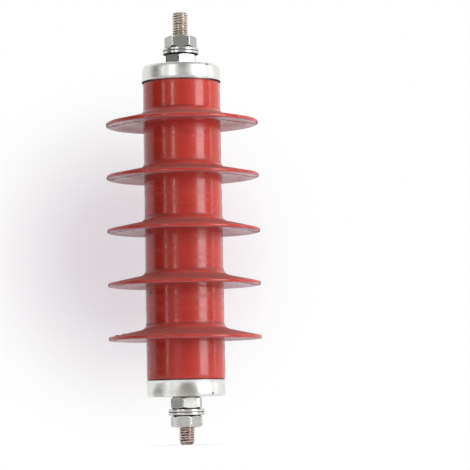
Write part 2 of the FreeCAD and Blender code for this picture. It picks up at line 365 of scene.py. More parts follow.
class JointShadeAndDirt(EffectGroup):
    """Painted shade and black dirt in the joint between two pieces, by the distance to the joint along the
    axis.
    """

    name = "Joint shade and dirt"
    inputs = (
        Port("Colour", COLOUR, (0.5, 0.5, 0.5)),
        Port("Shade And Dirt", COLOUR, (0.022, 0.018, 0.016)),
        Port("Joint", FLOAT, 0.1),
        Port("Reach", FLOAT, 0.0005),
        Port("Upper", FLOAT, 1.0),
        Port("Lower", FLOAT, 1.0),
        Port("Under", FLOAT, 0.0),
    )
    outputs = (Port("Colour", COLOUR), Port("Mask", FLOAT))

    def wire(self, graph: Graph, given: Outputs, result: Inputs) -> None:
        """Fills the group.

        Args:
            graph: Graph of the group.
            given: Its inputs.
            result: Its outputs.
        """
        axis = AxisPlace().put(graph).outputs
        far = graph.size(graph.less(axis["Away"], given["Joint"]))
        near = graph.between(graph.less(1.0, graph.math("DIVIDE", far, given["Reach"]), clamp=True), 0.0, 0.6)
        upper = graph.math("GREATER_THAN", axis["Height"], MIDDLE)
        share = graph.plus(graph.times(upper, given["Upper"]),
                           graph.times(graph.less(1.0, upper), given["Lower"]))
        uneven = graph.between(graph.noise(graph.place(), 800.0, 2.0, 0.6), 0.3, 0.55, 0.65, 1.0)
        # painted shade: the joint is laid dark where shade falls between the pieces, together with some dirt
        fresh = graph.times(graph.times(near, share), uneven, clamp=True)
        mask = graph.most(fresh, given["Under"])
        graph.feed(result["Colour"], graph.lay(fresh, given["Colour"], given["Shade And Dirt"]))
        graph.feed(result["Mask"], mask)


class SettledDust(EffectGroup):
    """Pale tone on what faces up, and less of it on what faces down: a dusting, with a painted sheen on the
    tops and a painted reflection on the undersides.
    """

    name = "Dust and painted sheen"
    inputs = (
        Port("Colour", COLOUR, (0.5, 0.5, 0.5)),
        Port("Dust", COLOUR, (0.6, 0.5, 0.48)),
        Port("Above", FLOAT, 0.5),
        Port("Below", FLOAT, 0.2),
        Port("Patches", FLOAT, 90.0),
    )
    outputs = (Port("Colour", COLOUR), Port("Mask", FLOAT))

    def wire(self, graph: Graph, given: Outputs, result: Inputs) -> None:
        """Fills the group.

        Args:
            graph: Graph of the group.
            given: Its inputs.
            result: Its outputs.
        """
        normal = graph.add("ShaderNodeNewGeometry").outputs["Normal"]
        facing = graph.split(normal)[2]
        up = graph.times(graph.between(facing, 0.25, 0.95), given["Above"])
        down = graph.times(graph.between(graph.times(facing, -1.0), 0.25, 0.95), given["Below"])
        place = graph.place()
        cloud = graph.noise(place, given["Patches"], 3.0, 0.55)
        fleck = graph.noise(place, 2600.0, 2.0, 0.6)
        uneven = graph.times(graph.between(cloud, 0.25, 0.75, 0.8, 1.1),
                             graph.between(fleck, 0.3, 0.7, 0.93, 1.05))
        # painted sheen and reflection: the pale tone follows which way a face points, partly dust
        mask = graph.times(graph.plus(up, down), uneven, clamp=True)
        graph.feed(result["Colour"], graph.lay(mask, given["Colour"], given["Dust"]))
        graph.feed(result["Mask"], mask)


class Mottling(EffectGroup):
    """Slow, cloudy change of a colour's lightness with a few fine specks."""

    name = "Mottling"
    inputs = (
        Port("Colour", COLOUR, (0.5, 0.5, 0.5)),
        Port("Cloud Size", FLOAT, 60.0),
        Port("Cloud Amount", FLOAT, 0.15),
        Port("Speck Size", FLOAT, 900.0),
        Port("Speck Amount", FLOAT, 0.2),
    )
    outputs = (Port("Colour", COLOUR), Port("Cloud", FLOAT))

    def wire(self, graph: Graph, given: Outputs, result: Inputs) -> None:
        """Fills the group.

        Args:
            graph: Graph of the group.
            given: Its inputs.
            result: Its outputs.
        """
        place = graph.place()
        cloud = graph.noise(place, given["Cloud Size"], 4.0, 0.6)
        speck = graph.between(graph.noise(place, given["Speck Size"], 3.0, 0.6), 0.66, 0.76)
        darker = graph.times(graph.between(cloud, 0.3, 0.7), given["Cloud Amount"])
        shaded = graph.lay(darker, given["Colour"], (0.25, 0.22, 0.22), Blend.MULTIPLY)
        dotted = graph.lay(graph.times(speck, given["Speck Amount"]), shaded, (0.12, 0.1, 0.1),
                           Blend.MULTIPLY)
        graph.feed(result["Colour"], dotted)
        graph.feed(result["Cloud"], cloud)


class TurnedLines(EffectGroup):
    """Fine lines that run round the axis, as turning, drawing and polishing leave them."""

    name = "Turned lines"
    inputs = (
        Port("Lines", FLOAT, 2500.0),
        Port("Depth", FLOAT, 0.5),
    )
    outputs = (Port("Normal", VECTOR), Port("Line", FLOAT))

    def wire(self, graph: Graph, given: Outputs, result: Inputs) -> None:
        """Fills the group.

        Args:
            graph: Graph of the group.
            given: Its inputs.
            result: Its outputs.
        """
        split = graph.split(graph.place())
        axis = AxisPlace().put(graph).outputs
        across = graph.plus(axis["Radius"], axis["Height"])
        along = graph.add("ShaderNodeCombineXYZ", {
            0: graph.times(split[0], 45.0),
            1: graph.times(split[1], 45.0),
            2: graph.times(across, given["Lines"]),
        }).outputs[0]
        line = graph.noise(along, 1.0, 3.0, 0.62)
        height = graph.times(line, given["Depth"])
        graph.feed(result["Normal"], graph.bump(height, 0.00002))
        graph.feed(result["Line"], line)


class SideShare(EffectGroup):
    """Share of an effect that is smaller near the middle of the front and the back than at the sides."""

    name = "Side share"
    inputs = (Port("In Front", FLOAT, 0.5),)
    outputs = (Port("Share", FLOAT),)

    def wire(self, graph: Graph, given: Outputs, result: Inputs) -> None:
        """Fills the group.

        Args:
            graph: Graph of the group.
            given: Its inputs.
            result: Its outputs.
        """
        aside = graph.size(graph.split(graph.place())[0])
        graph.feed(result["Share"], graph.between(aside, 0.012, 0.021, given["In Front"], 1.0))


class ThreadDirt(EffectGroup):
    """Dirt and rust that stay in the roots of a thread and wear off its crests."""

    name = "Thread dirt"
    inputs = (
        Port("Metal", COLOUR, (0.5, 0.5, 0.5)),
        Port("Dirt", COLOUR, (0.2, 0.12, 0.08)),
        Port("Root", FLOAT, 0.0041),
        Port("Crest", FLOAT, 0.005),
        Port("Amount", FLOAT, 0.7),
    )
    outputs = (Port("Colour", COLOUR), Port("Mask", FLOAT))

    def wire(self, graph: Graph, given: Outputs, result: Inputs) -> None:
        """Fills the group.

        Args:
            graph: Graph of the group.
            given: Its inputs.
            result: Its outputs.
        """
        depth = graph.add("ShaderNodeMapRange", {
            "Value": AxisPlace().put(graph).outputs["Radius"], "From Min": given["Root"],
            "From Max": given["Crest"],
            "To Min": 1.0, "To Max": 0.0,
        }).outputs[0]
        patch = graph.between(graph.noise(graph.place(), 420.0, 3.0, 0.6), 0.3, 0.65, 0.55, 1.0)
        mask = graph.times(graph.times(depth, patch), given["Amount"], clamp=True)
        graph.feed(result["Colour"], graph.lay(mask, given["Metal"], given["Dirt"]))
        graph.feed(result["Mask"], mask)


# Finishes


@dataclass(frozen=True)
class Finish:
    """A surface finish. Each kind adds its own sizes and wires its own material."""

    label: str
    slot: str

    def material(self) -> bpy.types.Material:
        """Makes the finish's material on its first use.

        Returns:
            The material.
        """
        made = bpy.data.materials.get(self.label)
        if made:
            return made
        material = bpy.data.materials.new(self.label)
        material.use_nodes = True
        tree = material.node_tree
        tree.nodes.clear()
        graph = Graph(tree)
        shader = graph.add("ShaderNodeBsdfPrincipled")
        leave = graph.add("ShaderNodeOutputMaterial")
        tree.links.new(shader.outputs[0], leave.inputs[0])
        self.wire(graph, shader.inputs)
        return material

    def wire(self, graph: Graph, shader: Inputs) -> None:
        """Sets and feeds the shader.

        Args:
            graph: Graph of the material.
            shader: Inputs of its Principled BSDF.
        """
        raise NotImplementedError

    def dress(self, *pieces: Piece) -> None:
        """Gives pieces this finish.

        Args:
            pieces: Objects to dress.
        """
        for piece in pieces:
            piece.data.materials.clear()
            piece.data.materials.append(self.material())


@dataclass(frozen=True)
class Blemish:
    """A small dark mark: angle from the front to the right, and radius, height and size in millimetres."""

    angle: float
    radius: float
    height: float
    size: float

    def mask(self, graph: Graph) -> Socket:
        """Mask of the mark.

        Args:
            graph: Graph of the material.

        Returns:
            The mask's socket.
        """
        turn = math.radians(self.angle)
        spot = (self.radius * MM * math.sin(turn), -self.radius * MM * math.cos(turn), self.height * MM)
        far = graph.away(spot)
        return graph.between(far, self.size * MM * 0.45, self.size * MM, 1.0, 0.0)


@dataclass(frozen=True)
class SiliconeRubber(Finish):
    """Moulded silicone rubber: semi-gloss red, dusted and with a painted sheen where it faces up, and with a
    painted reflection where it faces down.

    Left and right parting say how dark the line along the mould's parting line is on that side, on what faces
    up or outwards and on what faces down.
    """

    red: Colour = (0.555, 0.041, 0.024)
    deep_red: Colour = (0.48, 0.033, 0.019)
    # pale tone of the sheds: dust, with a painted sheen on the tops and a painted reflection on the
    # undersides
    dust_and_sheen: Colour = (0.47, 0.23, 0.20)
    # painted reflection of the pale floor and backdrop on the sheds' undersides
    underside_reflection: Colour = (0.46, 0.34, 0.44)
    # dark colour of the lines and specks, also of the painted dark reflection in the creases
    dirt: Colour = (0.035, 0.010, 0.009)
    gloss: float = 0.13
    body_end: float = 0.08785
    rim_radius: float = 0.045
    # strength of the painted dark reflection in the crease at the root of each shed's top
    crease: float = 0.55
    left_parting: tuple[float, float] = (0.35, 1.0)
    right_parting: tuple[float, float] = (0.8, 0.4)
    specks: tuple[Blemish, ...] = (
        Blemish(-60.0, 22.8, 79.0, 1.15), Blemish(-33.0, 22.7, 178.0, 0.35), Blemish(18.0, 22.9, 44.0, 0.3),
        Blemish(-86.0, 44.6, 178.7, 1.7), Blemish(-74.0, 44.4, 178.5, 1.3),
        Blemish(87.0, 44.8, 179.3, 1.5), Blemish(88.0, 44.8, 147.6, 1.5),
        Blemish(88.0, 44.8, 115.8, 1.4), Blemish(86.0, 44.8, 84.1, 1.4), Blemish(89.0, 44.8, 52.3, 1.2),
        Blemish(-88.0, 44.7, 52.2, 1.3),
    )

    def parting_line_dark(self, graph: Graph) -> Socket:
        """Dark line along the mould's parting line, most of it on the right side, and dark marks on the rims
        next to it.

        Args:
            graph: Graph of the material.

        Returns:
            The socket of its mask.
        """
        split = graph.split(graph.place())
        facing = AxisPlace().put(graph).outputs["Facing"]
        off = graph.size(split[1])
        down = graph.times(facing, -1.0)
        wide = graph.times(graph.between(down, 0.3, 0.8), 0.0008)
        line = graph.between(graph.less(off, wide), 0.0004, 0.0010, 1.0, 0.0)
        left = graph.between(down, 0.3, 0.8, *self.left_parting)
        right = graph.between(down, 0.3, 0.8, *self.right_parting)
        on_right = graph.between(split[0], -0.001, 0.001)
        side = graph.add("ShaderNodeMix", {0: on_right, 2: left, 3: right}, data_type="FLOAT").outputs[0]
        patchy = graph.between(graph.noise(graph.place(), 240.0, 2.0, 0.6), 0.31, 0.53, 0.2, 1.0)
        rim = graph.between(AxisPlace().put(graph).outputs["Radius"], self.rim_radius - 0.0012,
                            self.rim_radius - 0.0004)
        tip = graph.times(graph.between(off, 0.0040, 0.0150, 0.9, 0.0), rim)
        return graph.times(graph.most(graph.times(line, side), tip), patchy)

    def rim_line_and_crease_reflection(self, graph: Graph) -> Socket:
        """Broken dark line under the edge of each shed, and a painted dark reflection in the crease where its
        top leaves the body.

        Args:
            graph: Graph of the material.

        Returns:
            The socket of its mask.
        """
        axis = AxisPlace().put(graph).outputs
        under = graph.between(graph.times(axis["Facing"], -1.0), 0.25, 0.6)
        rim = graph.between(axis["Radius"], self.rim_radius - 0.0010, self.rim_radius - 0.0004)
        patchy = graph.between(graph.noise(graph.place(), 70.0, 3.0, 0.6), 0.48, 0.62)
        edge = graph.times(graph.times(under, rim), graph.times(patchy, 0.55))
        rising = graph.times(graph.between(axis["Facing"], 0.03, 0.14),
                             graph.between(axis["Facing"], 0.2, 0.42, 1.0, 0.0))
        inner = graph.between(axis["Radius"], self.rim_radius - 0.0215, self.rim_radius - 0.0195, 1.0, 0.0)
        uneven = graph.between(graph.noise(graph.place(), 55.0, 2.0, 0.5), 0.35, 0.65, 0.2, 1.0)
        # painted dark reflection in the crease where each shed's top leaves the body
        crease = graph.times(graph.times(rising, inner), graph.times(uneven, self.crease))
        return graph.most(edge, crease)

    def wire(self, graph: Graph, shader: Inputs) -> None:
        """Wires the material.

        Args:
            graph: Graph of the material.
            shader: Inputs of its Principled BSDF.
        """
        place = graph.place()
        slow = graph.noise(graph.stretched(place, (1.0, 1.0, 1.6)), 32.0, 3.0, 0.5)
        base = graph.lay(graph.between(slow, 0.3, 0.7), self.red, self.deep_red)
        mottled = Mottling().put(graph, Colour=base, Cloud_Size=85.0, Cloud_Amount=0.10, Speck_Size=700.0,
                                 Speck_Amount=0.22)
        # dust with a painted sheen on the tops and a painted reflection on the undersides
        dust_and_sheen_layer = SettledDust().put(graph, Colour=mottled.outputs["Colour"], Dust=self.dust_and_sheen, Above=0.44,
                                  Below=0.22, Patches=45.0)
        # dark lines and specks, with the painted dark reflection in the creases
        lines = graph.most(self.parting_line_dark(graph), self.rim_line_and_crease_reflection(graph))
        for speck in self.specks:
            lines = graph.most(lines, speck.mask(graph))
        # painted reflection: the undersides are laid paler and lilac, as the pale floor and backdrop would
        # show in them
        underside_reflected = SettledDust().put(graph, Colour=dust_and_sheen_layer.outputs["Colour"], Dust=self.underside_reflection, Above=0.0,
                                    Below=0.30, Patches=30.0)
        lined = graph.lay(lines, underside_reflected.outputs["Colour"], self.dirt)
        # painted shade with dirt on the rubber under each cap's lip, stronger at the sides
        share = SideShare().put(graph).outputs["Share"]
        joint = JointShadeAndDirt().put(graph, Colour=lined, Joint=self.body_end, Reach=0.0006, Upper=share,
                                 Lower=0.8)
        graph.feed(shader["Base Color"], joint.outputs["Colour"])
        streak = graph.noise(graph.stretched(place, (26.0, 26.0, 520.0)), 1.0, 2.0, 0.6)
        streaked = graph.between(streak, 0.44, 0.62, 0.0, 0.11)
        clouded = graph.between(mottled.outputs["Cloud"], 0.25, 0.75, self.gloss, self.gloss + 0.06)
        matt = graph.plus(clouded, streaked)
        dull = graph.most(graph.times(dust_and_sheen_layer.outputs["Mask"], 0.6), graph.most(lines, joint.outputs["Mask"]))
        top = graph.between(AxisPlace().put(graph).outputs["Facing"], 0.55, 0.92)
        rough = graph.plus(graph.plus(matt, graph.times(dull, 0.4)), graph.times(top, 0.34), clamp=True)
        graph.feed(shader["Roughness"], rough)
        ripple = graph.noise(graph.stretched(place, (14.0, 14.0, 190.0)), 1.0, 2.0, 0.5)
        rippled = graph.bump(ripple, 0.00025, 0.35)
        rippled = graph.bump(streak, 0.00012, 0.6, rippled)
        grain = graph.noise(place, 3200.0, 2.0, 0.6)
        graph.feed(shader["Normal"], graph.bump(grain, 0.00002, 0.35, rippled))
        shader["IOR"].default_value = 1.48


@dataclass(frozen=True)
class DrawnSteel(Finish):
    """Drawn and polished cap steel with fine lines round the axis, painted dark reflections, dark spots of
    dirt and painted reflection at the dents, a flat face painted darker, and painted shade with dirt under
    the lip.
    """

    steel: Colour = (0.80, 0.80, 0.78)
    # tone of random dull patches, also used for the painted darker flat face and the painted dark reflections
    patch_and_painted_dark: Colour = (0.52, 0.50, 0.47)
    # dark colour of the dent spots: dirt with a painted reflection
    grime_and_painted_dark: Colour = (0.10, 0.095, 0.09)
    gloss: float = 0.30
    lip: float = CAP_LIP
    # dark spots at the dents: dirt with a painted dark reflection
    dent_dirt_and_reflections: tuple[Blemish, ...] = (Blemish(43.0, 23.0, 19.6, 1.1), Blemish(42.0, 22.4, 212.4, 1.1))
    # painted reflections: dark wedges of the surround laid into the colour, each with its depth
    painted_reflections: tuple[tuple[Blemish, float], ...] = (
        (Blemish(0.0, 23.0, 20.0, 8.5), 0.75), (Blemish(5.0, 23.0, 22.0, 7.0), 0.35),
        (Blemish(-47.0, 23.0, 19.0, 6.5), 0.8), (Blemish(3.0, 22.5, 212.5, 4.0), 0.4),
    )

    def wire(self, graph: Graph, shader: Inputs) -> None:
        """Wires the material.

        Args:
            graph: Graph of the material.
            shader: Inputs of its Principled BSDF.
        """
        lines = TurnedLines().put(graph, Lines=2300.0, Depth=0.55)
        patch = graph.between(graph.noise(graph.place(), 160.0, 4.0, 0.6), 0.52, 0.78, 0.0, 0.5)
        # painted shade: the flat outer face is laid darker as well as rougher, against its bright reflection
        flat = graph.between(AxisPlace().put(graph).outputs["Facing"], 0.88, 0.97)
        dull = graph.most(patch, graph.times(flat, 0.8))
        colour = graph.lay(dull, self.steel, self.patch_and_painted_dark)
        mottled = Mottling().put(graph, Colour=colour, Cloud_Size=240.0, Cloud_Amount=0.05,
                                 Speck_Size=1500.0, Speck_Amount=0.25)
        patched_and_painted = mottled.outputs["Colour"]
        # painted reflections: dark wedges laid into the colour
        for patch_and_painted_dark, depth in self.painted_reflections:
            patched_and_painted = graph.lay(graph.times(patch_and_painted_dark.mask(graph), depth), patched_and_painted, self.patch_and_painted_dark, Blend.MULTIPLY)
        # dirt with a painted dark reflection at the dents
        dent_dirt_and_reflection_mask = graph.most(*(mark.mask(graph) for mark in self.dent_dirt_and_reflections))
        with_dent_dirt_and_reflections = graph.lay(graph.times(dent_dirt_and_reflection_mask, 0.85), patched_and_painted, self.grime_and_painted_dark)
        # painted shade with dirt at the cap's lip, stronger at the sides
        share = SideShare().put(graph).outputs["Share"]
        joint = JointShadeAndDirt().put(graph, Colour=with_dent_dirt_and_reflections, Joint=self.lip, Reach=0.0006, Upper=share, Lower=0.25)
        graph.feed(shader["Base Color"], joint.outputs["Colour"])
        matt = graph.between(lines.outputs["Line"], 0.3, 0.7, self.gloss, self.gloss + 0.09)
        matt = graph.plus(matt, graph.times(flat, 0.16))
        graph.feed(shader["Roughness"], graph.plus(matt, graph.times(joint.outputs["Mask"], 0.4), clamp=True))
        graph.feed(shader["Normal"], lines.outputs["Normal"])
        shader["Metallic"].default_value = 1.0


@dataclass(frozen=True)
class FastenerSteel(Finish):
    """Pressed nut and washer steel: matt faces, bevels painted bright as a highlight, scuffed and
    rubbed-bright corners, and painted shade with dirt where the pieces meet.

    Corner is the radius at which the corners start to be rubbed bright. Joints are the distances from the
    arrester's middle at which pieces meet, each with how far the painted shade and dirt reach.
    """

    steel: Colour = (0.50, 0.50, 0.48)
    # bright colour of scuffs and rubbed corners, also laid on the bevels as a painted highlight
    worn_and_highlight: Colour = (0.82, 0.81, 0.79)
    gloss: float = 0.30
    corner: float = 0.0091
    joints: tuple[tuple[float, float], ...] = ((JAM_TOP, 0.0014), (TERMINAL_SEAT, 0.0014))
    # faces that get the painted shade with dirt at the joints
    joint_shade_faces: tuple[float, float] = (0.25, 0.55)

    def wire(self, graph: Graph, shader: Inputs) -> None:
        """Wires the material.

        Args:
            graph: Graph of the material.
            shader: Inputs of its Principled BSDF.
        """
        place = graph.place()
        axis = AxisPlace().put(graph).outputs
        tilt = graph.size(axis["Facing"])
        scuffs = graph.between(graph.noise(graph.stretched(place, (1.0, 1.0, 2.5)), 620.0, 4.0, 0.65),
                               0.55, 0.8, 0.0, 0.45)
        flat = graph.between(tilt, 0.9, 0.98)
        # painted highlight: the bevels are laid in the bright colour
        bevel_highlight = graph.times(graph.between(tilt, 0.25, 0.6, 0.0, 0.8), graph.less(1.0, flat))
        corner = graph.between(axis["Radius"], self.corner, self.corner + 0.0005, 0.0, 0.8)
        # scuffs and rubbed corners, with the painted highlight on the bevels
        wear_and_highlight = graph.most(scuffs, graph.most(bevel_highlight, corner))
        mottled = Mottling().put(
            graph, Colour=graph.lay(wear_and_highlight, self.steel, self.worn_and_highlight), Cloud_Size=700.0, Cloud_Amount=0.18,
            Speck_Size=2200.0, Speck_Amount=0.3,
        )
        colour, dirt = mottled.outputs["Colour"], 0.0
        # painted shade with dirt where the pieces meet; dirt holds its mask
        share = graph.between(tilt, *self.joint_shade_faces)
        for joint, reach in self.joints:
            grime_and_painted_dark = JointShadeAndDirt().put(graph, Colour=colour, Joint=joint, Reach=reach, Upper=share,
                                     Lower=share, Under=dirt)
            colour, dirt = grime_and_painted_dark.outputs["Colour"], grime_and_painted_dark.outputs["Mask"]
        graph.feed(shader["Base Color"], colour)
        matt = graph.between(wear_and_highlight, 0.0, 0.8, self.gloss, self.gloss - 0.14)
        matt = graph.plus(matt, graph.times(flat, 0.12))
        graph.feed(shader["Roughness"], graph.plus(matt, graph.times(dirt, 0.4), clamp=True))
        grain = graph.noise(place, 3600.0, 3.0, 0.6)
        dent = graph.bump(graph.noise(place, 430.0, 2.0, 0.5), 0.00003, 0.5)
        graph.feed(shader["Normal"], graph.bump(grain, 0.000012, 0.5, dent))
        # the painted shade also takes away some of the metal
        graph.feed(shader["Metallic"], graph.less(1.0, graph.times(dirt, 0.7)))


@dataclass(frozen=True)
class ThreadSteel(Finish):
    """Rolled thread steel with dirt in the roots, and a flat tip painted darker."""

    steel: Colour = (0.88, 0.81, 0.72)
    dirt: Colour = (0.19, 0.145, 0.105)
    amount: float = 0.75
    gloss: float = 0.22

    def wire(self, graph: Graph, shader: Inputs) -> None:
        """Wires the material.

        Args:
            graph: Graph of the material.
            shader: Inputs of its Principled BSDF.
        """
        dirty = ThreadDirt().put(graph, Metal=self.steel, Dirt=self.dirt, Root=0.0041, Crest=0.0047,
                                 Amount=self.amount)
        mottled = Mottling().put(graph, Colour=dirty.outputs["Colour"], Cloud_Size=300.0,
                                 Cloud_Amount=0.2, Speck_Size=1900.0, Speck_Amount=0.3)
        # painted shade: the flat tip is laid darker and rougher, against its bright reflection
        tip = graph.between(graph.size(AxisPlace().put(graph).outputs["Facing"]), 0.95, 0.99)
        graph.feed(shader["Base Color"],
                   graph.lay(graph.times(tip, 0.5), mottled.outputs["Colour"], self.dirt))
        worked = graph.plus(graph.times(dirty.outputs["Mask"], 0.16), graph.times(tip, 0.2))
        rough = graph.plus(worked, self.gloss, clamp=True)
        graph.feed(shader["Roughness"], rough)
        graph.feed(shader["Metallic"], graph.less(1.0, graph.times(dirty.outputs["Mask"], 0.3)))
        graph.feed(shader["Normal"], graph.bump(graph.noise(graph.place(), 3000.0, 3.0, 0.6), 0.000015, 0.5))


@dataclass(frozen=True)
class TurnedMetal(Finish):
    """Lathe-turned metal of an inner piece."""

    metal: Colour = (0.75, 0.76, 0.77)
    lines: float = 3000.0
    gloss: float = 0.3

    def wire(self, graph: Graph, shader: Inputs) -> None:
        """Wires the material.

        Args:
            graph: Graph of the material.
            shader: Inputs of its Principled BSDF.
        """
        lines = TurnedLines().put(graph, Lines=self.lines, Depth=0.5)
        mottled = Mottling().put(graph, Colour=self.metal, Cloud_Size=150.0, Cloud_Amount=0.12,
                                 Speck_Size=1200.0, Speck_Amount=0.2)
        graph.feed(shader["Base Color"], mottled.outputs["Colour"])
        graph.feed(shader["Roughness"],
                   graph.between(lines.outputs["Line"], 0.3, 0.7, self.gloss, self.gloss + 0.1))
        graph.feed(shader["Normal"], lines.outputs["Normal"])
        shader["Metallic"].default_value = 1.0


@dataclass(frozen=True)
class PlainBody(Finish):
    """Non-metal of an inner piece: wound glass fibre, sintered ceramic or seal rubber."""

    colour: Colour = (0.5, 0.5, 0.5)
    stretch: Colour = (1.0, 1.0, 1.0)
    grain: float = 900.0
    depth: float = 0.00003
    gloss: float = 0.5

    def wire(self, graph: Graph, shader: Inputs) -> None:
        """Wires the material.

        Args:
            graph: Graph of the material.
            shader: Inputs of its Principled BSDF.
        """
        place = graph.stretched(graph.place(), self.stretch)
        grain = graph.noise(place, self.grain, 3.0, 0.6)
        mottled = Mottling().put(graph, Colour=self.colour, Cloud_Size=120.0, Cloud_Amount=0.25,
                                 Speck_Size=self.grain, Speck_Amount=0.3)
        graph.feed(shader["Base Color"], mottled.outputs["Colour"])
        graph.feed(shader["Roughness"], graph.between(grain, 0.3, 0.7, self.gloss, self.gloss + 0.15))
        graph.feed(shader["Normal"], graph.bump(grain, self.depth, 0.6))


RED_SILICONE = SiliconeRubber("red silicone rubber", "silicone_rubber")
CAP_STEEL = DrawnSteel("drawn cap steel", "cap_steel")
NUT_STEEL = FastenerSteel("pressed nut steel", "fastener_steel")
WASHER_STEEL = FastenerSteel(
    "stamped washer steel", "fastener_steel", steel=(0.68, 0.67, 0.65), gloss=0.26, corner=0.0105,
    joints=((JAM_TOP, 0.0003), (BETWEEN_WASHERS, 0.0004), (TERMINAL_SEAT, 0.0003)), joint_shade_faces=(-0.5, 0.05),
)
UPPER_THREAD = ThreadSteel("upper thread steel", "stud_steel")
LOWER_THREAD = ThreadSteel("lower thread steel, rusty", "stud_steel", steel=(0.93, 0.84, 0.78),
                           dirt=(0.12, 0.032, 0.024), amount=0.95)
INNER_FINISHES: dict[str, Finish] = {
    "turned_aluminium": TurnedMetal("turned aluminium", "turned_aluminium"),
    "spring_steel": TurnedMetal("blackened spring steel", "spring_steel", metal=(0.30, 0.30, 0.31),
                                gloss=0.4),
    "glass_fibre": PlainBody("wound glass fibre", "glass_fibre", colour=(0.58, 0.56, 0.30),
                             stretch=(1.0, 1.0, 6.0), gloss=0.35),
    "varistor_ceramic": PlainBody("sintered ceramic", "varistor_ceramic", colour=(0.10, 0.10, 0.11),
                                  grain=1500.0, gloss=0.4),
    "seal_rubber": PlainBody("seal rubber", "seal_rubber", colour=(0.02, 0.02, 0.02), grain=700.0,
                             gloss=0.55),
}


# Turned meshes


@dataclass(frozen=True)
class Corner:
    """A corner of a turned section, in millimetres, and the radius that rounds it."""

    radius: float
    height: float
    rounding: float = 0.0
    steps: int = 5


def section_line(corners: list[Corner], longest: float) -> np.ndarray:
    """Draws a closed section with its corners rounded.

    Args:
        corners: The section's corners in order.
        longest: Longest run between two points.

    Returns:
        Points as (radius, height), in millimetres.
    """
    places = [Vector((corner.radius, corner.height)) for corner in corners]
    line: list[Vector] = []
    for index, corner in enumerate(corners):
        here = places[index]
        before, after = places[index - 1], places[(index + 1) % len(places)]
        if not corner.rounding:
            line.append(here)
            continue
        back, ahead = (before - here), (after - here)
        room = 0.49 * min(back.length, ahead.length)
        back.normalize()
        ahead.normalize()
        half = back.angle(ahead) / 2
        reach = min(corner.rounding / math.tan(half), room)
        radius = reach * math.tan(half)
        centre = here + (back + ahead).normalized() * (radius / math.sin(half))
        first, last = here + back * reach - centre, here + ahead * reach - centre
        turn = math.pi - 2 * half
        for step in range(corner.steps + 1):
            share = step / corner.steps
            swing = first * math.sin((1 - share) * turn) + last * math.sin(share * turn)
            line.append(centre + swing / math.sin(turn))
    points: list[tuple[float, float]] = []
    for index, start in enumerate(line):
        points.append((start.x, start.y))
        end = line[(index + 1) % len(line)]
        pieces = max(1, math.ceil((end - start).length / longest))
        for piece in range(1, pieces):
            between = start.lerp(end, piece / pieces)
            points.append((between.x, between.y))
    return np.array(points)


def outward(line: np.ndarray) -> np.ndarray:
    """Outward direction at each point of a closed section that runs up its outside.

    Args:
        line: Points as (radius, height).

    Returns:
        Unit vectors as (radius, height).
    """
    run = np.roll(line, -1, axis=0) - np.roll(line, 1, axis=0)
    normal = np.stack([run[:, 1], -run[:, 0]], axis=1)
    return normal / np.maximum(np.linalg.norm(normal, axis=1, keepdims=True), 1e-9)


def spread(line: np.ndarray, columns: int) -> tuple[np.ndarray, np.ndarray]:
    """Repeats a section for every column round the axis.

    Args:
        line: Points as (radius, height).
        columns: How many columns.

    Returns:
        Radius and height of each point, ring by ring.
    """
    return np.repeat(line[:, :1], columns, axis=1), np.repeat(line[:, 1:], columns, axis=1)


def angle_from(angles: np.ndarray, centre: float) -> np.ndarray:
    """Angle of each column from a direction.

    Args:
        angles: Angle of each column, in radians.
        centre: The direction, in radians.

    Returns:
        Angles from minus half a turn to half a turn.
    """
    return np.mod(angles - centre + math.pi, 2 * math.pi) - math.pi


def link(thing: Piece) -> Piece:
    """Adds an object to the scene and gives it back."""
    bpy.context.scene.collection.objects.link(thing)
    return thing


def even_angles(count: int) -> np.ndarray:
    """Angles evenly spaced round the axis.

    Args:
        count: How many.

    Returns:
        Angles in radians.
    """
    return np.arange(count) * (2 * math.pi / count)


def piece_from_grid(
    name: str, radii: np.ndarray, angles: np.ndarray, heights: np.ndarray, closed: bool = True,
    lead: int = 0, crease: float = 35.0,
) -> Piece:
    """Makes a piece from rings of points round the axis.

    Args:
        name: Name of the piece.
        radii: Radius of each point, ring by ring, in millimetres.
        angles: Angle of each column, in radians.
        heights: Height of each point, ring by ring, in millimetres.
        closed: Whether the last ring joins the first.
        lead: Rings that the grid climbs in one turn, for a thread.
        crease: Angle in degrees above which an edge stays sharp.

    Returns:
        The new object, linked to the scene.
    """
    rings, columns = radii.shape
    grid = np.stack([radii * np.cos(angles), radii * np.sin(angles), heights], axis=-1) * MM
    faces: list[tuple[int, int, int, int]] = []
    for ring in range(rings if closed else rings - 1):
        above = (ring + 1) % rings
        for column in range(columns):
            beside = (column + 1) % columns
            climb = lead if beside == 0 else 0
            if ring + climb + 1 > rings - 1 and climb:
                continue
            faces.append((
                ring * columns + column, (ring + climb) * columns + beside,
                (above + climb) * columns + beside, above * columns + column,
            ))
    mesh = bpy.data.meshes.new(name)
    mesh.from_pydata(grid.reshape(-1, 3).tolist(), [], faces)
    work = bmesh.new()
    work.from_mesh(mesh)
    bmesh.ops.remove_doubles(work, verts=work.verts, dist=1e-7)
    holes = [edge for edge in work.edges if edge.is_boundary]
    if holes:
        bmesh.ops.holes_fill(work, edges=holes, sides=0)
    bmesh.ops.recalc_face_normals(work, faces=work.faces)
    work.to_mesh(mesh)
    work.free()
    mesh.shade_smooth()
    mesh.set_sharp_from_angle(angle=math.radians(crease))
    return link(bpy.data.objects.new(name, mesh))


def stand_in(piece: Piece, node: str, finish: Finish) -> Piece:
    """Puts a finished piece in the place of a solid.

    Args:
        piece: The piece.
        node: Name of the solid's node.
        finish: Its finish.

    Returns:
        The same piece.
    """
    finish.dress(piece)
    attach(piece, BODY)
    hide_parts(node)
    LOG.info("%s: %d faces, %s", piece.name, len(piece.data.polygons), finish.label)
    return piece


# Housing


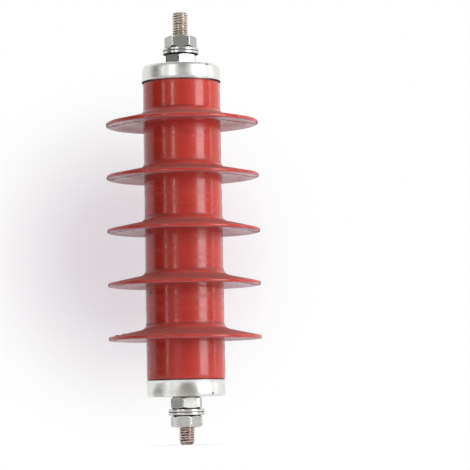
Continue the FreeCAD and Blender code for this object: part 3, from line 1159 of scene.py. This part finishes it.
@dataclass(frozen=True)
class Shed:
    """How one moulded shed stands off its drawn place."""

    rim_height: float
    lift: float = 0.0
    tilt: float = 0.0
    wave: float = 0.1
    phase: float = 0.0


@dataclass(frozen=True)
class FlashBump:
    """A small bump of rubber that the mould's parting left on a shed."""

    shed: int
    angle: float
    radius: float
    facing: Facing
    size: float = 1.0
    lift: float = 0.35


@dataclass
class Housing:
    """The one-piece rubber moulding: tapered body, sheds, necks and the mould's parting line."""

    bore_radius: float = 19.02
    neck_radius: float = 22.2
    lower_radius: float = 22.9
    upper_radius: float = 22.6
    base: float = 18.8
    top: float = 212.7
    low_shoulder: float = 28.1
    high_shoulder: float = 203.4
    shed_radius: float = 45.0
    rim_thickness: float = 2.2
    rim_round: float = 0.9
    top_slope: float = 12.0
    under_slope: float = 9.5
    top_fillet: float = 4.0
    under_fillet: float = 1.5
    seam_heights: tuple[float, float] = (0.10, 0.26)
    seam_width: float = 0.34
    ripple: float = 0.022
    run: float = 2.2
    ripple_edge: float = 24.5
    bend_from: float = 25.0
    bump_reach: float = 8.0
    shed_reach: float = 9.0
    worn_over_rim: float = 0.6
    sheds: tuple[Shed, ...] = (
        Shed(52.25, -0.05, 0.02, 0.10, 0.6),
        Shed(84.0, -0.05, -0.03, 0.08, 2.1),
        Shed(115.75, -0.05, -0.26, 0.12, 4.0),
        Shed(147.5, 0.20, 0.17, 0.08, 1.2),
        Shed(179.25, -0.03, 0.32, 0.14, 5.2),
    )
    bumps: tuple[FlashBump, ...] = (
        FlashBump(0, 182.0, 43.4, Facing.UP, 0.9, 0.75),
        FlashBump(0, 181.0, 40.2, Facing.UP, 0.8, 0.70),
        FlashBump(0, 181.0, 36.6, Facing.UP, 0.8, 0.60),
        FlashBump(0, 180.0, 41.4, Facing.DOWN, 0.9, 0.40),
        FlashBump(1, 0.5, 24.6, Facing.UP, 1.4, 0.25),
        FlashBump(1, 0.0, 38.4, Facing.UP, 0.6, 0.22),
        FlashBump(2, -0.5, 24.6, Facing.UP, 1.3, 0.25),
        FlashBump(2, 0.0, 43.0, Facing.UP, 0.7, 0.25),
        FlashBump(3, 0.0, 42.6, Facing.DOWN, 0.7, 0.22),
        FlashBump(4, 0.0, 43.4, Facing.UP, 0.6, 0.25),
    )

    def line(self) -> np.ndarray:
        """Draws the moulding's section.

        Returns:
            Points as (radius, height), in millimetres.
        """
        mean = (self.lower_radius + self.upper_radius) / 2
        middle = (self.low_shoulder + self.high_shoulder) / 2
        shrink = (self.lower_radius - self.upper_radius) / (self.high_shoulder - self.low_shoulder)
        corners = [
            Corner(self.bore_radius, self.base),
            Corner(self.neck_radius, self.base, 1.0, 3),
            Corner(self.neck_radius, self.low_shoulder),
            Corner(self.lower_radius, self.low_shoulder, 0.3, 3),
        ]
        for shed in self.sheds:
            root = mean + shrink * (middle - shed.rim_height)
            low = shed.rim_height - self.rim_thickness / 2
            high = shed.rim_height + self.rim_thickness / 2
            reach = self.shed_radius - root
            corners += [
                Corner(root, low + reach * math.tan(math.radians(self.under_slope)), self.under_fillet, 5),
                Corner(self.shed_radius, low, self.rim_round, 5),
                Corner(self.shed_radius, high, self.rim_round, 5),
                Corner(root, high + reach * math.tan(math.radians(self.top_slope)), self.top_fillet, 8),
            ]
        corners += [
            Corner(self.upper_radius, self.high_shoulder, 0.3, 3),
            Corner(self.neck_radius, self.high_shoulder),
            Corner(self.neck_radius, self.top, 1.0, 3),
            Corner(self.bore_radius, self.top),
        ]
        line = section_line(corners, self.run)
        inner = line[:, 0] < self.bore_radius + 0.01
        ends = (line[:, 1] < self.base + 0.01) | (line[:, 1] > self.top - 0.01)
        return line[~inner | ends]

    def angles(self) -> np.ndarray:
        """Spaces the columns round the axis, closer together at the parting line.

        Returns:
            Angles in radians.
        """
        near = np.radians([0.0, 0.25, 0.5, 0.8, 1.2, 1.8, 2.6])
        seam = np.concatenate([-near[:0:-1], near])
        wide = np.radians(np.linspace(4.4, 175.6, 98))
        return np.sort(np.mod(np.concatenate([seam, wide, seam + math.pi, wide + math.pi]), 2 * math.pi))

    def seam(self, radii: np.ndarray, angles: np.ndarray, heights: np.ndarray) -> np.ndarray:
        """Height of the parting line's ridge, which is uneven and higher on the right.

        Args:
            radii: Radius of each point.
            angles: Angle of each column.
            heights: Height of each point.

        Returns:
            Height of the ridge at each point, in millimetres.
        """
        aside = np.abs(radii * np.sin(angles))
        left, right = self.seam_heights
        along = heights + radii * 0.6
        uneven = 0.80 + 0.20 * np.sin(0.55 * along + 1.3 * np.sin(0.21 * along))
        return np.where(np.cos(angles) > 0, right, left) * uneven * np.exp(-((aside / self.seam_width) ** 2))

    def build(self) -> Piece:
        """Makes the housing.

        Returns:
            The finished piece.
        """
        line, angles = self.line(), self.angles()
        normal = outward(line)
        radii, heights = spread(line, len(angles))
        off_neck = line[:, 0] > self.neck_radius + 0.2
        between_ends = (line[:, 1] > self.low_shoulder - 0.1) & (line[:, 1] < self.high_shoulder + 0.1)
        shown = (off_neck & between_ends)[:, None].astype(float)
        stand = self.seam(radii, angles, heights) * shown
        slow = np.sin(heights * 0.83 + 0.7 * np.sin(angles * 2))
        wave = slow + 0.6 * np.sin(heights * 1.71 + 1.1 * np.sin(angles + 0.8))
        on_body = np.clip(self.ripple_edge - radii, 0.0, 1.0)
        stand += self.ripple * wave * on_body * shown
        for bump in self.bumps:
            turn = angle_from(angles, math.radians(bump.angle))
            far = np.hypot(radii - bump.radius, radii * turn)
            side = normal[:, 1:] > 0 if bump.facing is Facing.UP else normal[:, 1:] < 0
            near = np.abs(heights - self.sheds[bump.shed].rim_height) < self.bump_reach
            stand += bump.lift * np.exp(-((far / bump.size) ** 2)) * side * near
        for shed in self.sheds:
            near = np.abs(heights - shed.rim_height) < self.shed_reach
            share = np.clip((radii - self.bend_from) / (self.shed_radius - self.bend_from), 0.0, 1.0) * near
            shift = shed.lift + shed.tilt * np.cos(angles) + shed.wave * np.sin(2 * angles + shed.phase)
            heights = heights + shift * share
        radii = radii + normal[:, :1] * stand
        heights = heights + normal[:, 1:] * stand
        over = np.clip(radii - self.shed_radius, 0.0, None)
        radii = radii - over * self.worn_over_rim
        return stand_in(piece_from_grid("moulded_housing", radii, angles, heights), "housing", RED_SILICONE)


# Terminals


@dataclass(frozen=True)
class Dent:
    """A small dent in a cap: angle from the front towards the right, distance from its outer face."""

    angle: float
    depth_from_face: float
    size: float
    push: float


@dataclass
class EndCap:
    """Drawn cup over the end of the housing."""

    end: End
    face: float
    dents: tuple[Dent, ...]
    hole_radius: float = 5.25
    radius: float = 23.05
    thickness: float = CAP_WALL
    height: float = CAP_HEIGHT
    edge_round: float = 1.8
    lip_flare: float = 0.4
    lip_length: float = 1.6
    crown: float = 0.22
    crown_length: float = 6.0
    out_of_round: float = 0.05
    run: float = 0.9
    columns: int = 240

    def build(self) -> Piece:
        """Makes the cap.

        Returns:
            The finished piece.
        """
        inner = self.radius - self.thickness
        lip = self.height - self.lip_length
        line = section_line([
            Corner(self.hole_radius, 0.0, 0.15, 2),
            Corner(self.radius, 0.0, self.edge_round, 9),
            Corner(self.radius, lip, 3.0, 4),
            Corner(self.radius + self.lip_flare, self.height, 0.15, 3),
            Corner(inner + self.lip_flare, self.height, 0.15, 3),
            Corner(inner, lip, 3.0, 4),
            Corner(inner, self.thickness, self.edge_round - self.thickness, 4),
            Corner(self.hole_radius, self.thickness),
        ], self.run)
        angles = even_angles(self.columns)
        radii, depths = spread(line, len(angles))
        outside = (line[:, :1] > self.hole_radius + 2.0).astype(float)
        skirt = np.clip(outward(line)[:, :1], 0.0, 1.0)
        radii = radii - self.crown * skirt * np.clip(1.0 - depths / self.crown_length, 0.0, 1.0) ** 2
        oval = self.out_of_round * np.cos(2 * angles + 0.4) * outside
        radii = radii + oval * np.clip(depths / self.height, 0.0, 1.0)
        for dent in self.dents:
            turn = angle_from(angles, math.radians(dent.angle - 90.0))
            far = np.hypot(depths - dent.depth_from_face, radii * turn)
            radii = radii - dent.push * np.exp(-((far / dent.size) ** 2)) * outside
        heights = self.face + depths if self.end is End.LOWER else self.face - depths
        piece = piece_from_grid(f"{self.end.value}_drawn_cap", radii, angles, heights, crease=50.0)
        return stand_in(piece, f"{self.end.value}_cap", CAP_STEEL)


@dataclass
class ThreadedStud:
    """Stud with a rolled metric thread and a chamfered tip."""

    end: End
    root: float
    tip: float
    nut_spans: tuple[tuple[float, float], ...]
    engaged_from: float
    crest: float = 5.0
    core: float = 3.95
    engaged: float = 4.5
    pitch: float = 1.5
    chamfer: float = 1.1
    countersink: float = 0.4
    sides: int = 56
    steps_per_turn: int = 12
    crest_flat: float = 0.055
    flank_share: float = 0.36
    flank_ease: float = 0.35

    def flank(self, phase: np.ndarray) -> np.ndarray:
        """Radius along one pitch of the thread.

        Args:
            phase: Place along the pitch, from 0 to 1.

        Returns:
            Radius in millimetres.
        """
        from_crest = np.abs(phase - 0.5)
        share = np.clip((from_crest - self.crest_flat) / self.flank_share, 0.0, 1.0)
        eased = share * share * (3 - 2 * share) * self.flank_ease + share * (1 - self.flank_ease)
        return self.crest - (self.crest - self.core) * eased

    def limit(self, heights: np.ndarray) -> np.ndarray:
        """Largest radius that leaves room for the nuts and the end block.

        Args:
            heights: Heights along the stud.

        Returns:
            Radius in millimetres.
        """
        room = np.full_like(heights, self.crest)
        mouth = self.crest + self.countersink
        for low, high in (*self.nut_spans, tuple(sorted((self.engaged_from, self.root)))):
            inside = np.minimum(heights - low, high - heights)
            room = np.where(inside > 0, np.minimum(room, np.maximum(self.engaged, mouth - inside - 0.03)),
                            room)
        from_tip = np.abs(heights - self.tip)
        room = np.minimum(room, self.crest - self.chamfer + from_tip)
        return np.minimum(room, self.engaged - self.chamfer + np.abs(heights - self.root))

    def build(self, finish: Finish) -> Piece:
        """Makes the stud.

        Args:
            finish: Its finish.

        Returns:
            The finished piece.
        """
        low, high = sorted((self.root, self.tip))
        step = self.pitch / self.steps_per_turn
        rings = math.ceil((high - low) / step) + 2 * self.steps_per_turn + 2
        angles = even_angles(self.sides)
        climb = low - self.pitch + np.arange(rings)[:, None] * step
        heights = climb + self.pitch * (angles / (2 * math.pi))[None, :]
        phase = np.mod(np.arange(rings)[:, None] / self.steps_per_turn, 1.0)
        radii = self.flank(phase)
        heights = np.clip(heights, low, high)
        radii = np.minimum(radii, self.limit(heights))
        piece = piece_from_grid(
            f"{self.end.value}_threaded_stud", radii, angles, heights,
            closed=False, lead=self.steps_per_turn, crease=40.0,
        )
        return stand_in(piece, f"{self.end.value}_stud", finish)


@dataclass
class HexNut:
    """Hexagon nut, bevelled on both sides."""

    name: str
    node: str
    low: float
    turn: float
    height: float = NUT_HEIGHT
    across_flats: float = 17.0
    hole_radius: float = 4.533
    mouth_radius: float = 5.4
    bevel_angle: float = 30.0
    land_share: float = 0.92
    sharpness: float = 90.0

    def hexagon(self, angles: np.ndarray) -> np.ndarray:
        """Distance from the axis to the outline, its corners a little rounded.

        Args:
            angles: Angle of each column, from the +X axis.

        Returns:
            Radius of each column, in millimetres.
        """
        half = self.across_flats / 2
        corner = math.radians(self.turn - 90.0)
        total = np.zeros_like(angles)
        for side in range(6):
            toward = np.cos(angles - corner - math.radians(30 + 60 * side))
            total += np.clip(toward, 0.0, None) ** self.sharpness
        return half * total ** (-1 / self.sharpness)

    def columns(self) -> np.ndarray:
        """Spaces the columns round the axis, closer together at the corners.

        Returns:
            Angles in radians.
        """
        near = np.array([0.0, 0.5, 1.1, 1.9, 3.0, 5.0, 8.0, 12.0, 18.0, 24.0, 30.0])
        steps = np.concatenate([near, 60.0 - near[-2:0:-1]])
        return np.radians(np.concatenate([self.turn - 90.0 + 60.0 * side + steps for side in range(6)]))

    def build(self) -> Piece:
        """Makes the nut.

        Returns:
            The finished piece.
        """
        angles = self.columns()
        outline = self.hexagon(angles)
        half = self.across_flats / 2
        land = half * self.land_share
        slope = math.tan(math.radians(self.bevel_angle))
        drop = (outline - land) * slope
        mouth_depth = self.mouth_radius - self.hole_radius
        ease = 0.12
        radii, depths = [], []
        for radius, depth in ((self.hole_radius, mouth_depth), (self.mouth_radius, 0.06),
                              (self.mouth_radius + 0.06, 0.0),
                              (land - ease, 0.0), (land, 0.02)):
            radii.append(np.full_like(outline, radius))
            depths.append(np.full_like(outline, depth))
        for share in (0.5, 0.9):
            radii.append(land + (outline - land) * share)
            depths.append(drop * share + 0.02)
        for inset, extra in ((0.02, 0.0), (0.0, 0.09), (0.0, 0.5)):
            radii.append(outline - inset)
            depths.append(drop + 0.02 + extra)
        half_radii, half_depths = np.array(radii), np.array(depths)
        radii_grid = np.concatenate([half_radii, half_radii[::-1]])
        heights = np.concatenate([half_depths, self.height - half_depths[::-1]]) + self.low
        piece = piece_from_grid(self.name, radii_grid, angles, heights, crease=24.0)
        return stand_in(piece, self.node, NUT_STEEL)


@dataclass
class FlatWasher:
    """Stamped washer: one edge rounded by the punch, the other with a slight burr."""

    name: str
    node: str
    low: float
    radius: float = 10.6
    thickness: float = WASHER_HEIGHT
    hole_radius: float = 5.25
    run: float = 1.4
    columns: int = 128

    def build(self) -> Piece:
        """Makes the washer.

        Returns:
            The finished piece.
        """
        high = self.low + self.thickness
        line = section_line([
            Corner(self.hole_radius, self.low, 0.12, 2),
            Corner(self.radius, self.low, 0.22, 4),
            Corner(self.radius, high, 0.5, 6),
            Corner(self.hole_radius, high, 0.3, 3),
        ], self.run)
        angles = even_angles(self.columns)
        radii, heights = spread(line, len(angles))
        return stand_in(piece_from_grid(self.name, radii, angles, heights, crease=50.0), self.node,
                        WASHER_STEEL)


@dataclass
class Terminal:
    """One end of the arrester: cap, stud, two nuts and two washers."""

    end: End
    cap_face: float
    exposed: float
    jam_turn: float
    terminal_turn: float
    thread_finish: Finish
    dents: tuple[Dent, ...]
    tip_chamfer: float = 1.1
    stud_depth: float = 17.8

    def span(self, near: float, far: float) -> tuple[float, float]:
        """Lowest and highest height of what lies between two distances from the cap's face.

        Args:
            near: Nearer distance, outwards.
            far: Farther distance, outwards.

        Returns:
            The two heights, in millimetres.
        """
        if self.end is End.LOWER:
            return self.cap_face - far, self.cap_face - near
        return self.cap_face + near, self.cap_face + far

    def build(self) -> list[Piece]:
        """Makes the terminal.

        Returns:
            The finished pieces.
        """
        name, outward_sign = self.end.value, -1.0 if self.end is End.LOWER else 1.0
        jam = (0.0, NUT_HEIGHT)
        inner = (jam[1], jam[1] + WASHER_HEIGHT)
        outer = (inner[1], inner[1] + WASHER_HEIGHT)
        terminal = (outer[1], outer[1] + NUT_HEIGHT)
        cap = EndCap(self.end, self.cap_face, self.dents).build()
        stud = ThreadedStud(
            self.end, self.cap_face - outward_sign * self.stud_depth,
            self.cap_face + outward_sign * (terminal[1] + self.exposed),
            (self.span(*jam), self.span(*terminal)), self.cap_face - outward_sign * CAP_WALL,
            chamfer=self.tip_chamfer,
        ).build(self.thread_finish)
        nuts = [
            HexNut(f"{name}_jam_hexagon", f"{name}_jam_nut", self.span(*jam)[0], self.jam_turn).build(),
            HexNut(f"{name}_terminal_hexagon", f"{name}_terminal_nut", self.span(*terminal)[0],
                   self.terminal_turn).build(),
        ]
        washers = [
            FlatWasher(f"{name}_inner_disc", f"{name}_inner_washer", self.span(*inner)[0]).build(),
            FlatWasher(f"{name}_outer_disc", f"{name}_outer_washer", self.span(*outer)[0]).build(),
        ]
        return [cap, stud, *nuts, *washers]


class InnerColumn:
    """The solids inside the housing, which keep their drawn shape and get their finishes."""

    def dress(self) -> int:
        """Gives every inner solid the finish of its slot.

        Returns:
            How many were dressed.
        """
        slots = {part["node"]: part["material_slot"] for part in frame["record"]["subparts"]}
        dressed = 0
        for name, solid in frame["nodes"].items():
            finish = INNER_FINISHES.get(slots.get(name, ""))
            if finish is None:
                continue
            finish.dress(solid)
            dressed += 1
        return dressed


# Studio


@dataclass(frozen=True)
class Lamp:
    """A rectangular softbox, placed round the object and aimed at a point on its axis.

    The azimuth is in degrees from the camera towards the right.
    """

    label: str
    azimuth: float
    distance: float
    height: float
    width: float
    length: float
    power: float
    aim: float = 0.11

    def build(self) -> Piece:
        """Makes the lamp.

        Returns:
            The lamp's object.
        """
        data = bpy.data.lights.new(self.label, "AREA")
        data.shape = "RECTANGLE"
        data.size, data.size_y = self.width, self.length
        data.energy = self.power
        lamp = bpy.data.objects.new(self.label, data)
        angle = math.radians(self.azimuth)
        lamp.location = (self.distance * math.sin(angle), -self.distance * math.cos(angle), self.height)
        toward = Vector((0.0, 0.0, self.aim)) - lamp.location
        lamp.rotation_euler = toward.to_track_quat("-Z", "Y").to_euler()
        return link(lamp)


@dataclass
class PhotoCamera:
    """Camera at the photograph's place: distances in millimetres, angles in degrees."""

    distance: float = 1415.6
    height: float = 5.78
    yaw: float = -1.2265
    pitch: float = 4.3226
    roll: float = -1.0494
    lens: float = 184.086
    sensor: float = 36.0

    def build(self) -> Piece:
        """Makes the camera and makes it the scene's camera.

        Returns:
            The camera's object.
        """
        data = bpy.data.cameras.new("camera")
        data.sensor_width, data.lens = self.sensor, self.lens
        data.clip_start, data.clip_end = 0.01, 50.0
        camera = link(bpy.data.objects.new("camera", data))
        turn = (
            Matrix.Rotation(math.radians(self.yaw), 4, "Z")
            @ Matrix.Rotation(math.radians(90.0 + self.pitch), 4, "X")
            @ Matrix.Rotation(math.radians(self.roll), 4, "Z")
        )
        camera.matrix_world = Matrix.Translation((0.0, -self.distance * MM, self.height * MM)) @ turn
        bpy.context.scene.camera = camera
        return camera


@dataclass
class Studio:
    """Pale floor and backdrop, softboxes and a soft surround."""

    floor_height: float = -0.0102
    backdrop_distance: float = 0.055
    floor_half: float = 2.5
    backdrop_half: float = 0.5
    backdrop_top: float = 0.7
    paper: Colour = (0.82, 0.71, 0.83)
    paper_glow: float = 0.54
    floor_shade: Colour = (0.0, 0.0, -0.0102)
    backdrop_shade: Colour = (-0.030, 0.055, 0.105)
    floor_fade: tuple[float, float] = (0.003, 0.030)
    backdrop_fade: tuple[float, float] = (0.02, 0.118)
    light_tones: tuple[tuple[float, float], ...] = (
        (-180.0, 0.35), (-130.0, 0.35), (-100.0, 0.05), (-20.0, 0.0), (20.0, 1.2), (60.0, 2.65),
        (100.0, 1.95), (140.0, 0.6),
        (180.0, 0.35),
    )
    light_ceiling: float = 0.38
    mirror_ceiling: float = 0.5
    ceiling_edge: tuple[float, float] = (0.15, 0.42)
    mirror_tones: tuple[tuple[float, float], ...] = (
        (-180.0, 0.5), (-120.0, 0.5), (-92.0, 0.1), (-68.0, 0.0), (-54.0, 0.6), (-38.0, 0.44), (-22.0, 1.05),
        (-8.0, 0.36), (8.0, 0.22), (22.0, 0.45), (33.0, 0.7), (42.0, 1.1), (56.0, 0.2), (80.0, 0.6),
        (104.0, 0.2), (140.0, 0.4), (180.0, 0.5),
    )
    lamps: tuple[Lamp, ...] = (
        Lamp("broad softbox right", 55.5, 0.95, 0.10, 0.42, 0.95, 7.3),
        Lamp("narrow strip left", -26.5, 1.10, 0.42, 0.030, 0.50, 0.85),
        Lamp("thin strip far left", -55.0, 1.00, 0.12, 0.030, 0.80, 0.65),
        Lamp("soft panel right", 112.0, 0.90, 0.15, 0.60, 0.90, 6.8),
    )

    def sheet(self, label: str, corners: list[Colour], centre: Colour, near: float, far: float) -> Piece:
        """Makes a sheet of pale paper that fades to white away from the object.

        Args:
            label: Name of the sheet.
            corners: Its corners, in metres.
            centre: Middle of its shaded part.
            near: Distance from the centre where the fading starts, in metres.
            far: Distance where it ends.

        Returns:
            The sheet's object.
        """
        mesh = bpy.data.meshes.new(label)
        mesh.from_pydata(corners, [], [(0, 1, 2, 3)])
        sheet = link(bpy.data.objects.new(label, mesh))
        material = bpy.data.materials.new(label)
        material.use_nodes = True
        material.node_tree.nodes.clear()
        graph = Graph(material.node_tree)
        paper = graph.add("ShaderNodeBsdfDiffuse", {"Color": self.paper})
        white = graph.add("ShaderNodeEmission", {"Color": (1.0, 1.0, 1.0), "Strength": 1.0})
        clear = graph.add("ShaderNodeBsdfTransparent")
        # painted shade: near the centre less white glow shows, so the sheet is darker there, round the
        # object's real shadow
        away = graph.away(centre)
        share = graph.between(away, near, far, self.paper_glow, 1.0)
        path = graph.add("ShaderNodeLightPath").outputs
        mirrored = graph.most(path["Is Glossy Ray"], path["Is Transmission Ray"])
        fade = graph.times(share, graph.most(path["Is Camera Ray"], mirrored))
        faded = graph.add("ShaderNodeMixShader", {0: fade, 1: paper.outputs[0], 2: white.outputs[0]})
        behind = graph.add("ShaderNodeNewGeometry").outputs["Backfacing"]
        shown = graph.add("ShaderNodeMixShader", {0: behind, 1: faded.outputs[0], 2: clear.outputs[0]})
        graph.add("ShaderNodeOutputMaterial", {0: shown.outputs[0]})
        mesh.materials.append(material)
        return sheet

    def round_about(self, graph: Graph, tones: tuple[tuple[float, float], ...], ceiling: float) -> Socket:
        """Tone of the surround by its azimuth and, above the walls, of the ceiling.

        Args:
            graph: Graph of the world.
            tones: Azimuth in degrees from the camera towards the right, from -180 to 180, and the tone there.
            ceiling: Tone of the ceiling.

        Returns:
            The tone's socket.
        """
        direction = graph.split(graph.add("ShaderNodeTexCoord").outputs["Generated"])
        azimuth = graph.math("ARCTAN2", direction[0], graph.times(direction[1], -1.0))
        ramp = graph.add("ShaderNodeValToRGB",
                         {0: graph.plus(graph.math("DIVIDE", azimuth, 2 * math.pi), 0.5)})
        stops = ramp.color_ramp.elements
        for stop, (_, tone) in zip((stops[0], stops[1]), (tones[0], tones[-1])):
            stop.color = (tone, tone, tone, 1.0)
        for angle, tone in tones[1:-1]:
            stops.new(angle / 360.0 + 0.5).color = (tone, tone, tone, 1.0)
        return graph.lay(graph.between(direction[2], *self.ceiling_edge), ramp.outputs[0],
                         (ceiling, ceiling, ceiling))

    def surround(self) -> None:
        """Lights the object from all round.

        The light is soft, from the right and from above, and metal mirrors bright and dark walls.
        """
        world = bpy.data.worlds.new("surround")
        bpy.context.scene.world = world
        world.use_nodes = True
        world.node_tree.nodes.clear()
        graph = Graph(world.node_tree)
        path = graph.add("ShaderNodeLightPath").outputs
        mirrored = graph.most(path["Is Glossy Ray"], path["Is Transmission Ray"])
        light = self.round_about(graph, self.light_tones, self.light_ceiling)
        tone = graph.lay(mirrored, light, self.round_about(graph, self.mirror_tones, self.mirror_ceiling))
        white = graph.lay(path["Is Camera Ray"], tone, (1.0, 1.0, 1.0))
        room = graph.add("ShaderNodeBackground", {"Color": white, "Strength": 1.0})
        graph.add("ShaderNodeOutputWorld", {0: room.outputs[0]})

    def build(self) -> None:
        """Sets up the whole studio."""
        low, back = self.floor_height, self.backdrop_distance
        half = self.floor_half
        floor = [(-half, -half, low), (half, -half, low), (half, half, low), (-half, half, low)]
        self.sheet("floor", floor, self.floor_shade, *self.floor_fade)
        half, top = self.backdrop_half, self.backdrop_top
        backdrop = [(-half, back, low), (half, back, low), (half, back, top), (-half, back, top)]
        self.sheet("backdrop", backdrop, self.backdrop_shade, *self.backdrop_fade)
        for lamp in self.lamps:
            lamp.build()
        self.surround()
        bpy.context.scene.view_settings.view_transform = "Standard"


# The arrester


@dataclass
class Arrester:
    """The whole object, in the order in which it is put together."""

    housing: Housing = field(default_factory=Housing)
    column: InnerColumn = field(default_factory=InnerColumn)
    terminals: tuple[Terminal, ...] = (
        Terminal(
            End.LOWER, LOWER_FACE, exposed=10.0, jam_turn=-10.4, terminal_turn=15.0,
            thread_finish=LOWER_THREAD,
            dents=(Dent(43.0, 1.7, 0.8, 0.28), Dent(-36.0, 1.2, 1.0, 0.08)), tip_chamfer=1.9,
        ),
        Terminal(
            End.UPPER, UPPER_FACE, exposed=14.0, jam_turn=-5.5, terminal_turn=32.0,
            thread_finish=UPPER_THREAD,
            dents=(Dent(42.0, 0.9, 0.8, 0.25), Dent(-30.0, 1.1, 1.2, 0.08)),
        ),
    )

    def build(self) -> None:
        """Makes every piece and dresses the solids that stay."""
        LOG.info("inner solids dressed: %d", self.column.dress())
        self.housing.build()
        for terminal in self.terminals:
            LOG.info("%s terminal: %d pieces", terminal.end.value, len(terminal.build()))


def write_sizes() -> None:
    """Updates the view layer.
    """
    bpy.context.view_layer.update()


def main() -> None:
    """Builds the arrester, the studio and the camera, and reports each piece."""
    logging.basicConfig(level=logging.INFO, format="%(name)s: %(message)s")
    Arrester().build()
    Studio().build()
    PhotoCamera().build()
    write_sizes()


if __name__ == "__main__":
    main()
